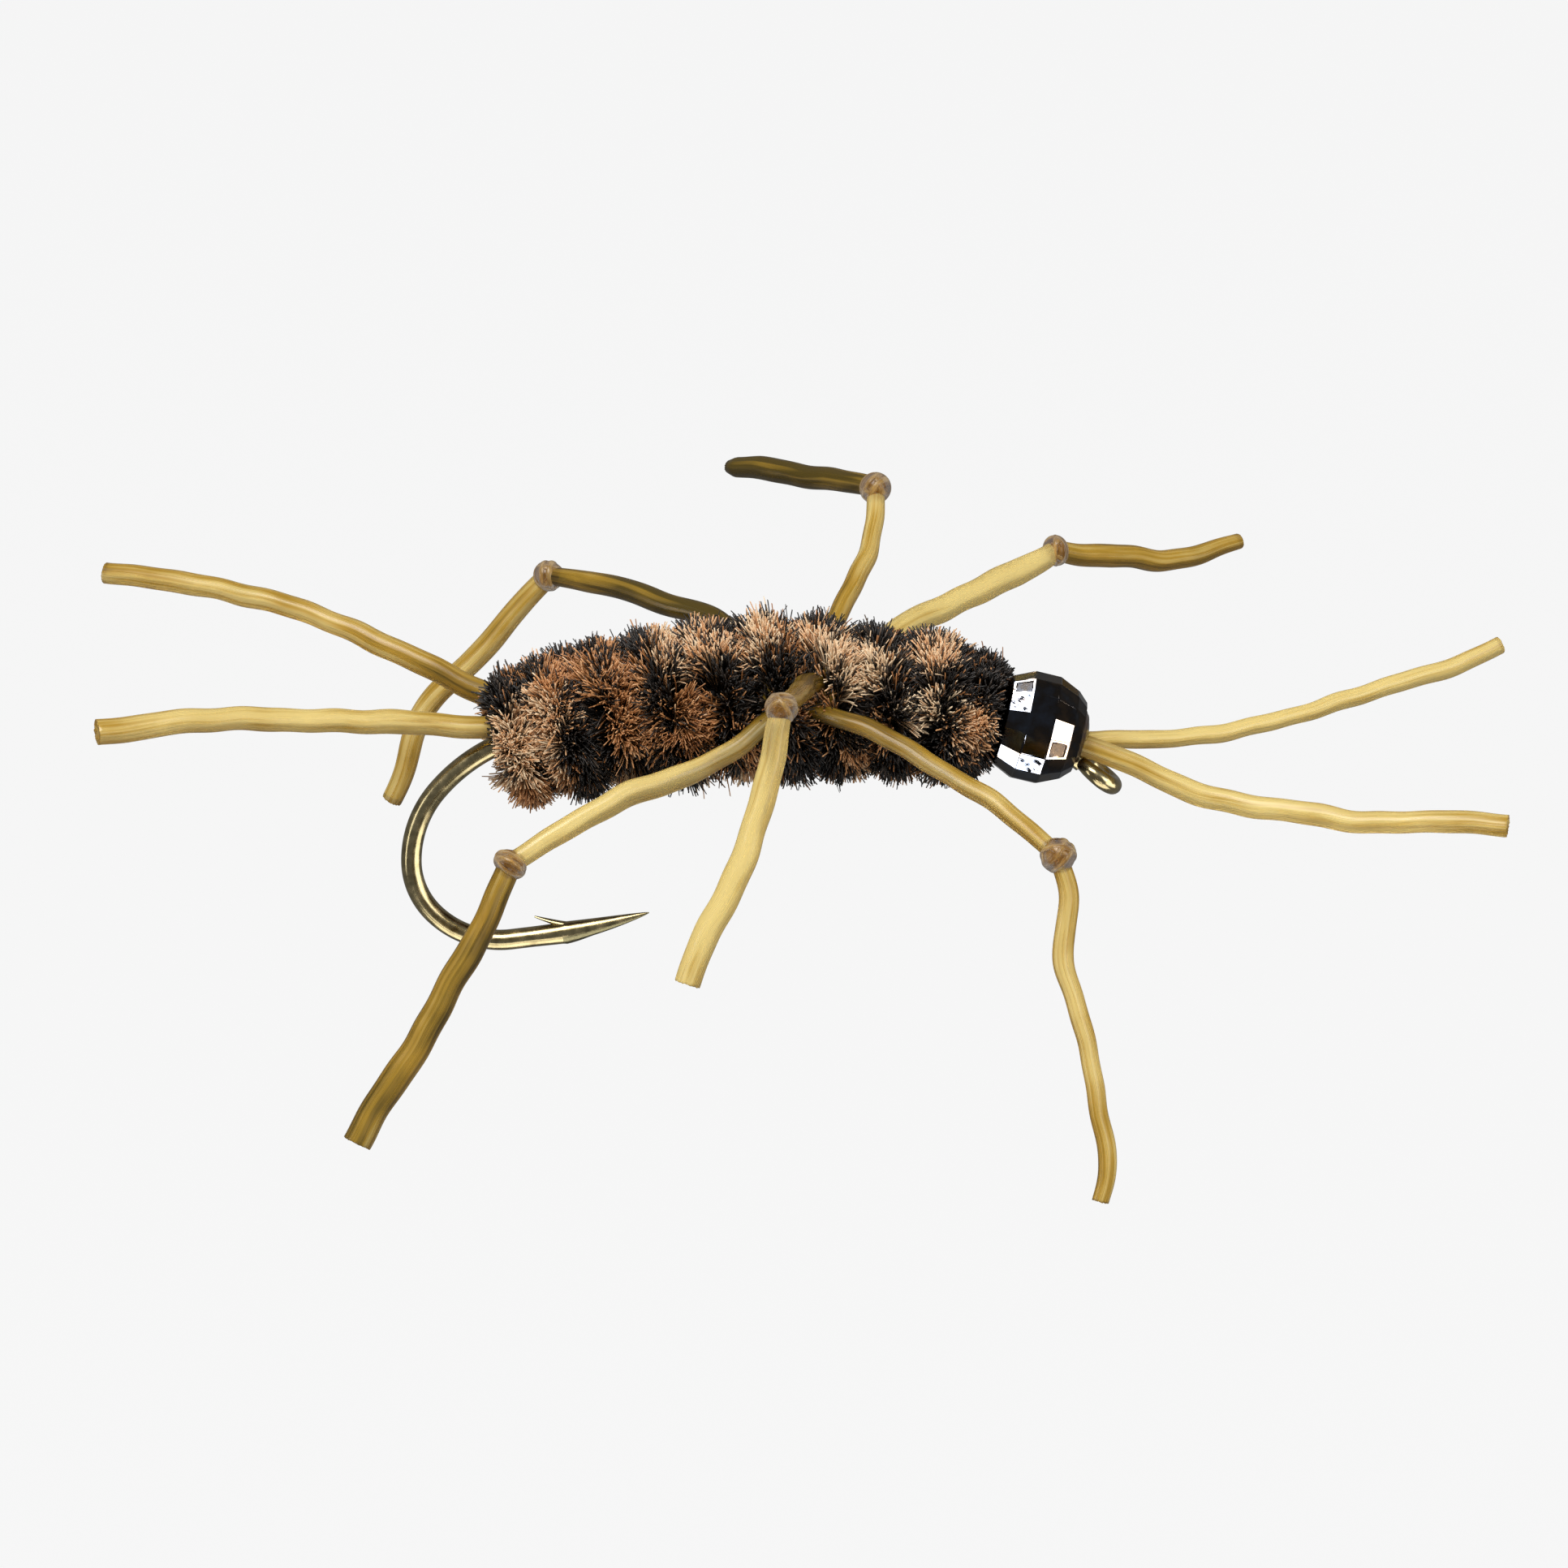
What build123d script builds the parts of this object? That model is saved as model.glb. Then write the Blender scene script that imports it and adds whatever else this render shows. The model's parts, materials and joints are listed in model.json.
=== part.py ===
from build123d import *
import math
import os

# A weighted rubber-leg nymph fly tied on a long curved hook, in millimetres.
# The origin is the centre of the hook eye. +X runs forward out of the eye, +Z is up
# and +Y is the fly's left side. The hook lies in the XZ plane.

os.makedirs("parts", exist_ok=True)

# ---- driving dimensions: hook, about size 4 in a 3X-long curved nymph pattern ----
WIRE_R = 0.42
EYE_WIRE_R = 0.37
EYE_RING_R = 0.78
EYE_HOLE_R = 0.43
EYE_TILT = 37.0
NECK_RUN = 2.07
NECK_BEND_R = 1.6
NECK_TURN = 23.8
SHANK_R = 41.0
SHANK_TURN = 28.6
HOOK_BEND = [(7.3, 34.6), (4.55, 40.0), (3.05, 45.0), (3.8, 52.0)]  # radius, degrees of turn
SPEAR_RUN = 2.1
POINT_LENGTH = 3.6
POINT_RISE = 0.42
POINT_TIP_R = 0.05
BARB_LENGTH = 0.75
BARB_HEIGHT = 0.33
BARB_ROOT = 0.1
BARB_LEAN = 0.3
BARB_THICKNESS = 0.3

# ---- driving dimensions: bead, a 3/16 inch faceted bead ----
BEAD_R = 2.3
BEAD_X = -2.35
BEAD_BANDS = [-54, -36, -13, 13, 36, 54]  # latitudes of the rings of corners
BEAD_FACETS = 16
BEAD_TURN = 21.0
BEAD_BORE_R = 0.62
RECESS_FACE_R = 1.3
RECESS_FLOOR_R = 1.1
RECESS_FLOOR = 0.2
RECESS_CONE = 0.4

# ---- driving dimensions: layers wound round the shank, from the wire outwards ----
BODY_REAR_X = -24.3
BODY_FRONT_X = -4.75
THREAD_R = 0.55
THREAD_REAR_X = -23.1
THREAD_FRONT_X = -4.3
WEIGHT_WIRE_R = 0.24
WEIGHT_GAP = 0.01
WEIGHT_PITCH = 0.55
WEIGHT_REAR_X = -20.2
WEIGHT_FRONT_X = -6.4
CORE_CORD_R = 0.25
CORE_WIND_R = 1.35
CHENILLE_TURNS = 9
PILE_END_R = 2.35
PILE_SWELL = 0.6
PILE_EDGE_DROP = 0.3
PILE_LAP = 0.12
PILE_LEAN = 8.0
PILE_HOLLOW_R = 1.66
PILE_HOLLOW_REAR_X = -23.2
PILE_BORE_R = 0.62
PILE_BORE_REAR_X = -25.5
COLLAR_R = 1.25
COLLAR_REAR_X = -4.95
COLLAR_FRONT_X = -4.3
HEAD_REAR = 0.25
HEAD_FRONT = 1.95
HEAD_FACE_R = 1.2
HEAD_SHOULDER = 1.75
HEAD_GAP = 0.03

# ---- driving dimensions: floss strands ----
KNOT_R = 0.72
KNOT_GRIP = 0.35
BALL_SWELL = 0.04
SOCKET_GAP = 0.1
KNEE_GAP = 0.1
LEG_POCKET_R = 0.9
TAIL_POCKET_R = 0.75
CHANNEL_GAP = 0.05
ARC_SHARE = 0.45
TAIL_R = 0.46
ANTENNA_R = 0.4
LEG_TIE_R = 0.4
LEG_TIE_SHORT = 0.62

# Each leg runs from its pivot in the side of the body to its knot, then to its cut end.
LEGS = {
    "right_front": {
        "upper_radius": 0.4,
        "lower_radius": 0.4,
        "upper": [(-10.9, -3.1, 3.0), (-8.6, -4.2, 2.4), (-5.1, -6.0, 0.6), (-1.9, -7.6, -1.7)],
        "lower": [(-1.9, -7.6, -1.7), (-1.4, -7.9, -3.9), (-1.7, -8.4, -6.2), (-0.7, -9.1, -9.6),
                  (-0.2, -9.7, -13.2), (-0.4, -10.0, -15.1)],
    },
    "right_middle": {
        "upper_radius": 0.42,
        "lower_radius": 0.55,
        "upper": [(-11.7, -2.8, 4.3), (-11.9, -5.5, 4.9), (-12.4, -8.6, 5.2), (-12.8, -11.0, 4.9)],
        "lower": [(-12.8, -11.0, 4.9), (-13.3, -11.5, 2.3), (-14.0, -12.0, -0.1),
                  (-15.4, -12.5, -3.2), (-16.4, -13.0, -5.5)],
    },
    "right_rear": {
        "upper_radius": 0.47,
        "lower_radius": 0.55,
        "upper": [(-13.5, -3.05, 2.7), (-15.1, -4.0, 1.5), (-18.9, -5.5, 0.2), (-23.5, -7.4, -2.1)],
        "lower": [(-23.5, -7.4, -2.1), (-24.7, -8.0, -4.9), (-26.3, -8.7, -7.6),
                  (-27.8, -9.3, -10.1), (-29.5, -10.0, -12.8)],
    },
    "left_front": {
        "upper_radius": 0.47,
        "lower_radius": 0.42,
        "upper": [(-8.7, 2.3, 4.8), (-7.3, 3.6, 5.6), (-4.4, 6.1, 6.5), (-1.4, 8.4, 7.7)],
        "lower": [(-1.4, 8.4, 7.7), (0.6, 9.4, 7.2), (2.9, 10.6, 6.9), (4.9, 11.5, 7.0),
                  (6.5, 12.4, 7.5)],
    },
    "left_middle": {
        "upper_radius": 0.38,
        "lower_radius": 0.47,
        "upper": [(-10.8, 2.3, 5.1), (-10.0, 4.4, 6.5), (-9.1, 7.2, 8.5), (-8.9, 9.2, 10.2)],
        "lower": [(-8.9, 9.2, 10.2), (-10.9, 11.0, 10.4), (-13.0, 12.8, 10.3), (-15.0, 14.4, 10.4)],
    },
    "left_rear": {
        "upper_radius": 0.46,
        "lower_radius": 0.48,
        "upper": [(-14.8, 2.4, 4.9), (-16.4, 3.9, 5.9), (-19.2, 6.1, 6.5), (-22.5, 8.6, 6.6)],
        "lower": [(-22.5, 8.6, 6.6), (-24.7, 9.5, 4.1), (-27.2, 10.3, 1.4), (-28.7, 10.9, -1.6),
                  (-29.3, 11.2, -3.6)],
    },
}

TAILS = {
    "left_tail": [(-24.4, 0.7, 3.0), (-27.1, 1.1, 4.3), (-30.6, 2.0, 5.7), (-34.4, 3.2, 6.8),
                  (-40.6, 5.2, 7.3)],
    "right_tail": [(-24.5, -0.8, 2.0), (-28.2, -1.1, 2.4), (-32.6, -2.1, 2.7),
                   (-36.6, -3.2, 2.8), (-40.0, -4.2, 2.5)],
}
ANTENNAE = {
    "left_antenna": [(-0.15, 0.56, 1.25), (2.6, 1.05, 1.2), (6.2, 1.9, 1.5), (11.1, 3.4, 2.7),
                     (16.8, 5.3, 4.2)],
    "right_antenna": [(-0.15, -0.56, 1.15), (2.2, -1.0, 0.1), (5.7, -1.6, -1.0),
                      (10.8, -2.9, -1.3), (16.1, -4.2, -1.2)],
}
# The fixed middle of each strand, tied down on the shank. The moving ends start where it stops.
TAIL_FOLD = [TAILS["left_tail"][0], (-22.3, 0.66, 2.9), (-22.3, -0.66, 2.9), TAILS["right_tail"][0]]
ANTENNA_FOLD = [
    ANTENNAE["left_antenna"][0], (-1.5, 0.48, 2.1), (-1.5, -0.48, 2.1), ANTENNAE["right_antenna"][0]
]
LEG_TIE_TOPS = {
    "front": (-9.6, -0.3, 5.2),
    "middle": (-11.2, -0.2, 5.3),
    "rear": (-14.1, -0.2, 5.2),
}


def save(piece, label):
    """Label a finished piece and write it as its own STEP file."""
    piece.label = label
    export_step(piece, f"parts/{label}.step")


# ---- hook ----
def behind_eye(distance):
    """A point of the hook plane on the line that the eye and the neck share."""
    tilt = math.radians(EYE_TILT)
    return (-distance * math.cos(tilt), distance * math.sin(tilt))


with BuildPart() as hook:
    with BuildLine(Plane.XZ):
        neck = PolarLine(behind_eye(EYE_RING_R), length=NECK_RUN, angle=180 - EYE_TILT)
        neck_bend = JernArc(neck @ 1, neck % 1, NECK_BEND_R, NECK_TURN)
        shank = JernArc(neck_bend @ 1, neck_bend % 1, SHANK_R, SHANK_TURN)
        last = shank
        for bend_radius, turn in HOOK_BEND:
            last = JernArc(last @ 1, last % 1, bend_radius, turn)
        spear = Line(last @ 1, (last @ 1) + (last % 1) * SPEAR_RUN)
    with BuildSketch(Plane(neck @ 0, z_dir=neck % 0)):
        Circle(WIRE_R)
    sweep()

    # the ground point, its tip nearly level with the top of the spear
    spear_plane = Plane(spear @ 1, x_dir=spear % 1, z_dir=(0, -1, 0))
    spear_up = spear_plane.y_dir
    tip = (spear @ 1) + (spear % 1) * POINT_LENGTH + spear_up * POINT_RISE
    with BuildSketch(Plane(spear @ 1, x_dir=(0, 1, 0), z_dir=spear % 1)):
        Circle(WIRE_R)
    with BuildSketch(Plane(tip, x_dir=(0, 1, 0), z_dir=spear % 1)):
        Circle(POINT_TIP_R)
    loft()

    # the barb, a sliver raised from the top of the spear, which leans back towards the bend
    with BuildSketch(spear_plane):
        with BuildLine():
            Polyline(
                (BARB_LEAN, WIRE_R - BARB_ROOT),
                (2 * BARB_LEAN, WIRE_R - BARB_ROOT),
                (-BARB_LENGTH, WIRE_R + BARB_HEIGHT),
                close=True,
            )
        make_face()
    extrude(amount=BARB_THICKNESS / 2, both=True)

    # the eye ring, with a straight land through it
    eye_tilt = math.radians(EYE_TILT)
    with Locations(Plane((0, 0, 0), z_dir=(math.sin(eye_tilt), 0, math.cos(eye_tilt)))):
        Torus(EYE_RING_R, EYE_WIRE_R)
        Cylinder(EYE_HOLE_R, 2 * WIRE_R, mode=Mode.SUBTRACT)
save(hook.part, "hook")

# The shank is one long arc, so every layer on it turns about the centre of that arc.
shank_centre = shank.center_point
shank_axis = Axis(shank_centre, (0, 1, 0))


def shank_angle(x):
    """Degrees round the shank's arc at x, from its highest point towards the eye."""
    return math.degrees(math.asin((x - shank_centre.X) / SHANK_R))


def station(x):
    """The plane across the shank at x: local x is the fly's left, local y is away from the arc's centre."""
    angle = math.radians(shank_angle(x))
    outward = Vector(math.sin(angle), 0, math.cos(angle))
    forward = Vector(math.cos(angle), 0, -math.sin(angle))
    return Plane(shank_centre + outward * SHANK_R, x_dir=(0, 1, 0), z_dir=forward)


def wound_layer(label, inner, outer, rear_x, front_x):
    """A layer of even thickness wound round the shank."""
    with BuildPart() as layer:
        with BuildSketch(station(rear_x)):
            Circle(outer)
            Circle(inner, mode=Mode.SUBTRACT)
        revolve(axis=shank_axis, revolution_arc=shank_angle(front_x) - shank_angle(rear_x))
    save(layer.part, label)


def leaning_station(x):
    """A station tipped by the lean of the chenille's turns, with local x along the shank."""
    across = station(x)
    return Plane(across.origin, x_dir=across.z_dir, z_dir=(0, -1, 0)).rotated((0, 0, PILE_LEAN))


# ---- floss strands ----
def corner_radii(route):
    """The arc at each corner of a route: 0.45 of the shorter run beside it, over the tangent of half the turn."""
    points = [Vector(*point) for point in route]
    radii = []
    for before, corner, after in zip(points, points[1:], points[2:]):
        run_in = corner - before
        run_out = after - corner
        half_turn = math.radians(run_in.get_angle(run_out) / 2)
        radii.append(ARC_SHARE * min(run_in.length, run_out.length) / math.tan(half_turn))
    return radii


def pulled_back(end, inner, distance):
    """The point at this distance from the end of a route, towards its next point."""
    end = Vector(*end)
    return tuple(end + (Vector(*inner) - end).normalized() * distance)


def strand(route, radius, ball_r=None):
    """A round strand along a route, with a ball on its first point if ball_r is given."""
    with BuildPart() as piece:
        with BuildLine() as path:
            FilletPolyline(*route, radius=corner_radii(route))
        start = Plane(path.line @ 0, z_dir=path.line % 0)
        with BuildSketch(start):
            Circle(radius)
        sweep()
        if ball_r:
            with Locations(start):
                Sphere(ball_r)
    return piece.part


def tie(left, top, right, radius, short=0.0):
    """The middle of a leg strand, arched over the body and stopping short of its two pivots."""
    with BuildPart() as piece:
        with BuildLine() as path:
            arch = ThreePointArc(left, top, right, mode=Mode.PRIVATE)
            share = short / arch.length
            ThreePointArc(arch @ share, arch @ 0.5, arch @ (1 - share))
        with BuildSketch(Plane(path.line @ 0, z_dir=path.line % 0)):
            Circle(radius)
        sweep()
    return piece.part


def fold(route, radius, short):
    """The folded middle of a two-ended strand, stopping short of its two pivots."""
    ends = (pulled_back(route[0], route[1], short), pulled_back(route[-1], route[-2], short))
    return strand([ends[0], *route[1:-1], ends[1]], radius)


for name, leg in LEGS.items():
    knot_centre = leg["upper"][-1]
    bore_end = pulled_back(knot_centre, leg["upper"][-2], KNOT_R - KNOT_GRIP)
    upper_route = [*leg["upper"][:-1], bore_end]
    save(strand(upper_route, leg["upper_radius"], leg["upper_radius"] + BALL_SWELL), f"{name}_leg_upper")

    # the knot's own pole points along its socket
    socket_way = Vector(*bore_end) - Vector(*knot_centre)
    from_middle = (Align.CENTER, Align.CENTER, Align.MIN)
    with BuildPart() as knot:
        with Locations(Plane(knot_centre, z_dir=socket_way)):
            Sphere(KNOT_R)
        with Locations(Plane(bore_end, z_dir=socket_way)):
            Cylinder(leg["upper_radius"], KNOT_R, align=from_middle, mode=Mode.SUBTRACT)
    save(knot.part, f"{name}_leg_knot")

    knee_start = pulled_back(knot_centre, leg["lower"][1], KNOT_R + KNEE_GAP)
    save(strand([knee_start, *leg["lower"][1:]], leg["lower_radius"]), f"{name}_leg_lower")

for name, route in TAILS.items():
    save(strand(route, TAIL_R, TAIL_R + BALL_SWELL), name)
for name, route in ANTENNAE.items():
    save(strand(route, ANTENNA_R, ANTENNA_R + BALL_SWELL), name)

save(fold(TAIL_FOLD, TAIL_R, TAIL_R + BALL_SWELL + SOCKET_GAP), "tail_strand")
antenna_socket = ANTENNA_R + BALL_SWELL + SOCKET_GAP
antenna_strand = fold(ANTENNA_FOLD, ANTENNA_R, antenna_socket)
save(antenna_strand, "antenna_strand")

leg_arches = {
    pair: (LEGS[f"left_{pair}"]["upper"][0], top, LEGS[f"right_{pair}"]["upper"][0])
    for pair, top in LEG_TIE_TOPS.items()
}
for pair, arch in leg_arches.items():
    save(tie(*arch, LEG_TIE_R, short=LEG_TIE_SHORT), f"{pair}_leg_strand")

# ---- layers on the shank ----
wound_layer("thread_base", WIRE_R, THREAD_R, THREAD_REAR_X, THREAD_FRONT_X)
wound_layer("thread_collar", THREAD_R, COLLAR_R, COLLAR_REAR_X, COLLAR_FRONT_X)

weight_turns = round((WEIGHT_FRONT_X - WEIGHT_REAR_X) / WEIGHT_PITCH) + 1
with BuildPart() as weight_wire:
    with Locations(*[station(WEIGHT_REAR_X + i * WEIGHT_PITCH) for i in range(weight_turns)]):
        Torus(THREAD_R + WEIGHT_GAP + WEIGHT_WIRE_R, WEIGHT_WIRE_R)
save(weight_wire.part, "weight_wire")

turn_pitch = (BODY_FRONT_X - BODY_REAR_X) / CHENILLE_TURNS
turn_centres = [BODY_REAR_X + (i + 0.5) * turn_pitch for i in range(CHENILLE_TURNS)]
# the rearmost turn of the chenille lies over the folded tail strand and has no room for its core
with BuildPart() as chenille_core:
    for x in turn_centres[1:]:
        leaning = leaning_station(x)
        with Locations(Plane(leaning.origin, x_dir=(0, 1, 0), z_dir=leaning.x_dir)):
            Torus(CORE_WIND_R, CORE_CORD_R)
save(chenille_core.part, "chenille_core")

with BuildPart() as chenille_pile:
    half_lobe = turn_pitch / 2 + PILE_LAP
    for i, x in enumerate(turn_centres):
        crest = PILE_END_R + PILE_SWELL * math.sin(math.pi * (i + 0.5) / CHENILLE_TURNS)
        edge = crest - PILE_EDGE_DROP
        leaning = leaning_station(x)
        with BuildSketch(leaning):
            with BuildLine():
                Polyline((-half_lobe, edge), (-half_lobe, 0), (half_lobe, 0), (half_lobe, edge))
                ThreePointArc((half_lobe, edge), (0, crest), (-half_lobe, edge))
            make_face()
        revolve(axis=Axis(leaning.origin, leaning.x_dir))
    # the hollow over the wound underbody, and the bore for the bare shank behind it
    for radius, rear_x in ((PILE_HOLLOW_R, PILE_HOLLOW_REAR_X), (PILE_BORE_R, PILE_BORE_REAR_X)):
        with BuildSketch(station(rear_x)):
            Circle(radius)
        revolve(
            axis=shank_axis,
            revolution_arc=shank_angle(BEAD_X) - shank_angle(rear_x),
            mode=Mode.SUBTRACT,
        )
    # channels for the strands tied under the pile, and pockets where their free ends leave it
    add(strand(TAIL_FOLD, TAIL_R + CHANNEL_GAP), mode=Mode.SUBTRACT)
    for arch in leg_arches.values():
        add(tie(*arch, LEG_TIE_R + CHANNEL_GAP), mode=Mode.SUBTRACT)
    with Locations(*[leg["upper"][0] for leg in LEGS.values()]):
        Sphere(LEG_POCKET_R, mode=Mode.SUBTRACT)
    with Locations(*[route[0] for route in TAILS.values()]):
        Sphere(TAIL_POCKET_R, mode=Mode.SUBTRACT)
save(chenille_pile.part, "chenille_pile")

# ---- bead and the thread head that fills its front recess ----
bead_plane = station(BEAD_X)
bead_profile = Plane(bead_plane.origin, x_dir=bead_plane.z_dir, z_dir=(0, -1, 0))
bead_axis = Axis(bead_plane.origin, bead_plane.z_dir)
with BuildPart() as bead:
    for band in zip(BEAD_BANDS, BEAD_BANDS[1:]):
        for latitude in map(math.radians, band):
            with BuildSketch(bead_plane.offset(BEAD_R * math.sin(latitude))):
                RegularPolygon(BEAD_R * math.cos(latitude), BEAD_FACETS, rotation=BEAD_TURN)
        loft(ruled=True)
    with BuildSketch(bead_profile):
        with BuildLine():
            Polyline(
                (-BEAD_R, 0),
                (-BEAD_R, BEAD_BORE_R),
                (RECESS_FLOOR - RECESS_CONE, BEAD_BORE_R),
                (RECESS_FLOOR, RECESS_FLOOR_R),
                (BEAD_R, RECESS_FACE_R),
                (BEAD_R, 0),
                close=True,
            )
        make_face()
    revolve(axis=bead_axis, mode=Mode.SUBTRACT)
save(bead.part, "bead")

with BuildPart() as thread_head:
    with BuildSketch(bead_profile):
        with BuildLine():
            Polyline(
                (HEAD_FRONT, 0),
                (HEAD_REAR, 0),
                (HEAD_REAR, RECESS_FLOOR_R - HEAD_GAP),
                (HEAD_SHOULDER, HEAD_FACE_R),
            )
            Spline(
                (HEAD_SHOULDER, HEAD_FACE_R),
                (HEAD_FRONT, 0),
                tangents=((1, 0), (0, -1)),
            )
        make_face()
    revolve(axis=bead_axis)
    add(hook.part, mode=Mode.SUBTRACT)
    add(antenna_strand, mode=Mode.SUBTRACT)
    with Locations(ANTENNA_FOLD[0], ANTENNA_FOLD[-1]):
        Sphere(antenna_socket, mode=Mode.SUBTRACT)
save(thread_head.part, "thread_head")
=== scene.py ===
import json
import math

import bpy
import numpy as np
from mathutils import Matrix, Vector

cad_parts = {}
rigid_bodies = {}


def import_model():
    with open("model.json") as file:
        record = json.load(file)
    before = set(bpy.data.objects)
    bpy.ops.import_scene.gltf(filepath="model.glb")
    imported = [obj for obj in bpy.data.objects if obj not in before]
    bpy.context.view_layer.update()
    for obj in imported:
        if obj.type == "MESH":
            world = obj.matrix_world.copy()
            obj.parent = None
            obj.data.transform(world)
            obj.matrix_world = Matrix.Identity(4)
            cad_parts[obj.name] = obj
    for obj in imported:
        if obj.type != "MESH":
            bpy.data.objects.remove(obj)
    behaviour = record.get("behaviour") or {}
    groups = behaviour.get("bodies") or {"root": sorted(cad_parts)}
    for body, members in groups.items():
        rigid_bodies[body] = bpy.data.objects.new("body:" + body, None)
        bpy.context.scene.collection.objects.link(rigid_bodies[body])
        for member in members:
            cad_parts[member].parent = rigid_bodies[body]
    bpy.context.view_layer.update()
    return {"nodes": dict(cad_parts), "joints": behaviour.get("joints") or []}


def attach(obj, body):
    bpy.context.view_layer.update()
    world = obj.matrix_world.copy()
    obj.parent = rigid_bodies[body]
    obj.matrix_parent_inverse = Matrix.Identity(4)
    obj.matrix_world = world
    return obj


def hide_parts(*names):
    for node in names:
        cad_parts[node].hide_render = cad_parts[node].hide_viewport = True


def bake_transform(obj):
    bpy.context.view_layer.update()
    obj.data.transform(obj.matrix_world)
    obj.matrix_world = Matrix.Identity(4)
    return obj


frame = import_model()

MM = 0.001
ROOT = "hook_and_body"
ELEVATION = math.radians(12)


# ---- colours and materials
def rgb(code):
    """A hex colour as linear RGBA."""
    channels = [int(code[i:i + 2], 16) / 255 for i in (0, 2, 4)]
    return (*(c / 12.92 if c <= 0.04045 else ((c + 0.055) / 1.055) ** 2.4 for c in channels), 1.0)


class Nodes:
    """A short way to write a node material."""

    def __init__(self, name):
        self.mat = bpy.data.materials.new(name)
        self.mat.use_nodes = True
        self.tree = self.mat.node_tree
        self.tree.nodes.clear()
        self.out = self.add("ShaderNodeOutputMaterial")
        self.shader = self.add("ShaderNodeBsdfPrincipled")
        self.link(self.shader.outputs[0], self.out.inputs[0])

    def add(self, kind, **values):
        node = self.tree.nodes.new(kind)
        for key, value in values.items():
            setattr(node, key, value)
        return node

    def link(self, a, b):
        self.tree.links.new(a, b)

    def set(self, **values):
        for key, value in values.items():
            self.shader.inputs[key.replace("_", " ")].default_value = value

    def attribute(self, name):
        return self.add("ShaderNodeAttribute", attribute_name=name)

    def noise(self, vector, scale, detail=4.0, rough=0.55, stretch=(1, 1, 1)):
        mapping = self.add("ShaderNodeMapping")
        mapping.inputs["Scale"].default_value = stretch
        node = self.add("ShaderNodeTexNoise")
        node.inputs["Scale"].default_value = scale
        node.inputs["Detail"].default_value = detail
        node.inputs["Roughness"].default_value = rough
        self.link(vector, mapping.inputs["Vector"])
        self.link(mapping.outputs[0], node.inputs["Vector"])
        return node.outputs["Fac"]

    def ramp(self, value, stops):
        node = self.add("ShaderNodeValToRGB")
        while len(node.color_ramp.elements) < len(stops):
            node.color_ramp.elements.new(0.5)
        for element, (place, colour) in zip(node.color_ramp.elements, stops):
            element.position = place
            element.color = colour if len(colour) == 4 else (*colour, 1)
        self.link(value, node.inputs[0])
        return node.outputs[0]

    def grey(self, value, low, high, a=0.3, b=0.7):
        return self.ramp(value, [(a, (low,) * 3), (b, (high,) * 3)])

    def math(self, kind, a, b=0.5):
        node = self.add("ShaderNodeMath", operation=kind)
        for slot, value in zip(node.inputs, (a, b)):
            if isinstance(value, (int, float)):
                slot.default_value = value
            else:
                self.link(value, slot)
        return node.outputs[0]

    def mix(self, kind, factor, a, b):
        node = self.add("ShaderNodeMix", data_type="RGBA", blend_type=kind)
        for slot, value in zip((node.inputs[0], node.inputs[6], node.inputs[7]), (factor, a, b)):
            if isinstance(value, (int, float, tuple)):
                slot.default_value = value
            else:
                self.link(value, slot)
        return node.outputs[2]

    def bump(self, height, strength, distance_mm):
        node = self.add("ShaderNodeBump")
        node.inputs["Strength"].default_value = strength
        node.inputs["Distance"].default_value = distance_mm * MM
        self.link(height, node.inputs["Height"])
        self.link(node.outputs[0], self.shader.inputs["Normal"])

    def object_mm(self):
        """Object coordinates in millimetres."""
        coord = self.add("ShaderNodeTexCoord")
        scale = self.add("ShaderNodeVectorMath", operation="SCALE")
        scale.inputs["Scale"].default_value = 1 / MM
        self.link(coord.outputs["Object"], scale.inputs[0])
        return scale.outputs[0]


def floss_material(name, dark, mid, light, transmission, roughness=0.28):
    """Spandex floss: many fine filaments fused side by side, translucent."""
    n = Nodes(name)
    # the strand attribute runs round the strand in x and y, and along it in z, in millimetres
    along = n.attribute("strand").outputs["Vector"]
    shade = n.attribute("shade").outputs["Fac"]
    streak = n.noise(along, 1.0, 2.0, 0.5, (4.0, 4.0, 0.13))
    fine = n.noise(along, 1.0, 3.0, 0.5, (13.0, 13.0, 0.22))
    patch = n.noise(along, 1.0, 2.0, 0.5, (0.9, 0.9, 0.40))
    mixed = n.math("ADD", n.math("MULTIPLY", streak, 0.45), n.math("MULTIPLY", fine, 0.2))
    mixed = n.math("ADD", mixed, n.math("MULTIPLY", patch, 0.35))
    mixed = n.math("ADD", mixed, shade)
    colour = n.ramp(mixed, [(0.29, dark), (0.45, mid), (0.62, light)])
    n.link(colour, n.shader.inputs["Base Color"])
    n.link(n.grey(fine, roughness - 0.08, roughness + 0.12), n.shader.inputs["Roughness"])
    n.bump(n.math("ADD", streak, n.math("MULTIPLY", fine, 0.5)), 0.4, 0.05)
    n.set(IOR=1.45, Transmission_Weight=transmission)
    n.set(Specular_IOR_Level=0.5, Coat_Weight=0.12, Coat_Roughness=0.2)
    return n.mat


floss = floss_material("floss_golden", rgb("5E4C10"), rgb("C89E34"), rgb("FFE796"), 0.62)
knot_floss = floss_material("floss_knot", rgb("4A2C08"), rgb("9A6C24"), rgb("DDB46A"), 0.5, 0.26)


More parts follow.
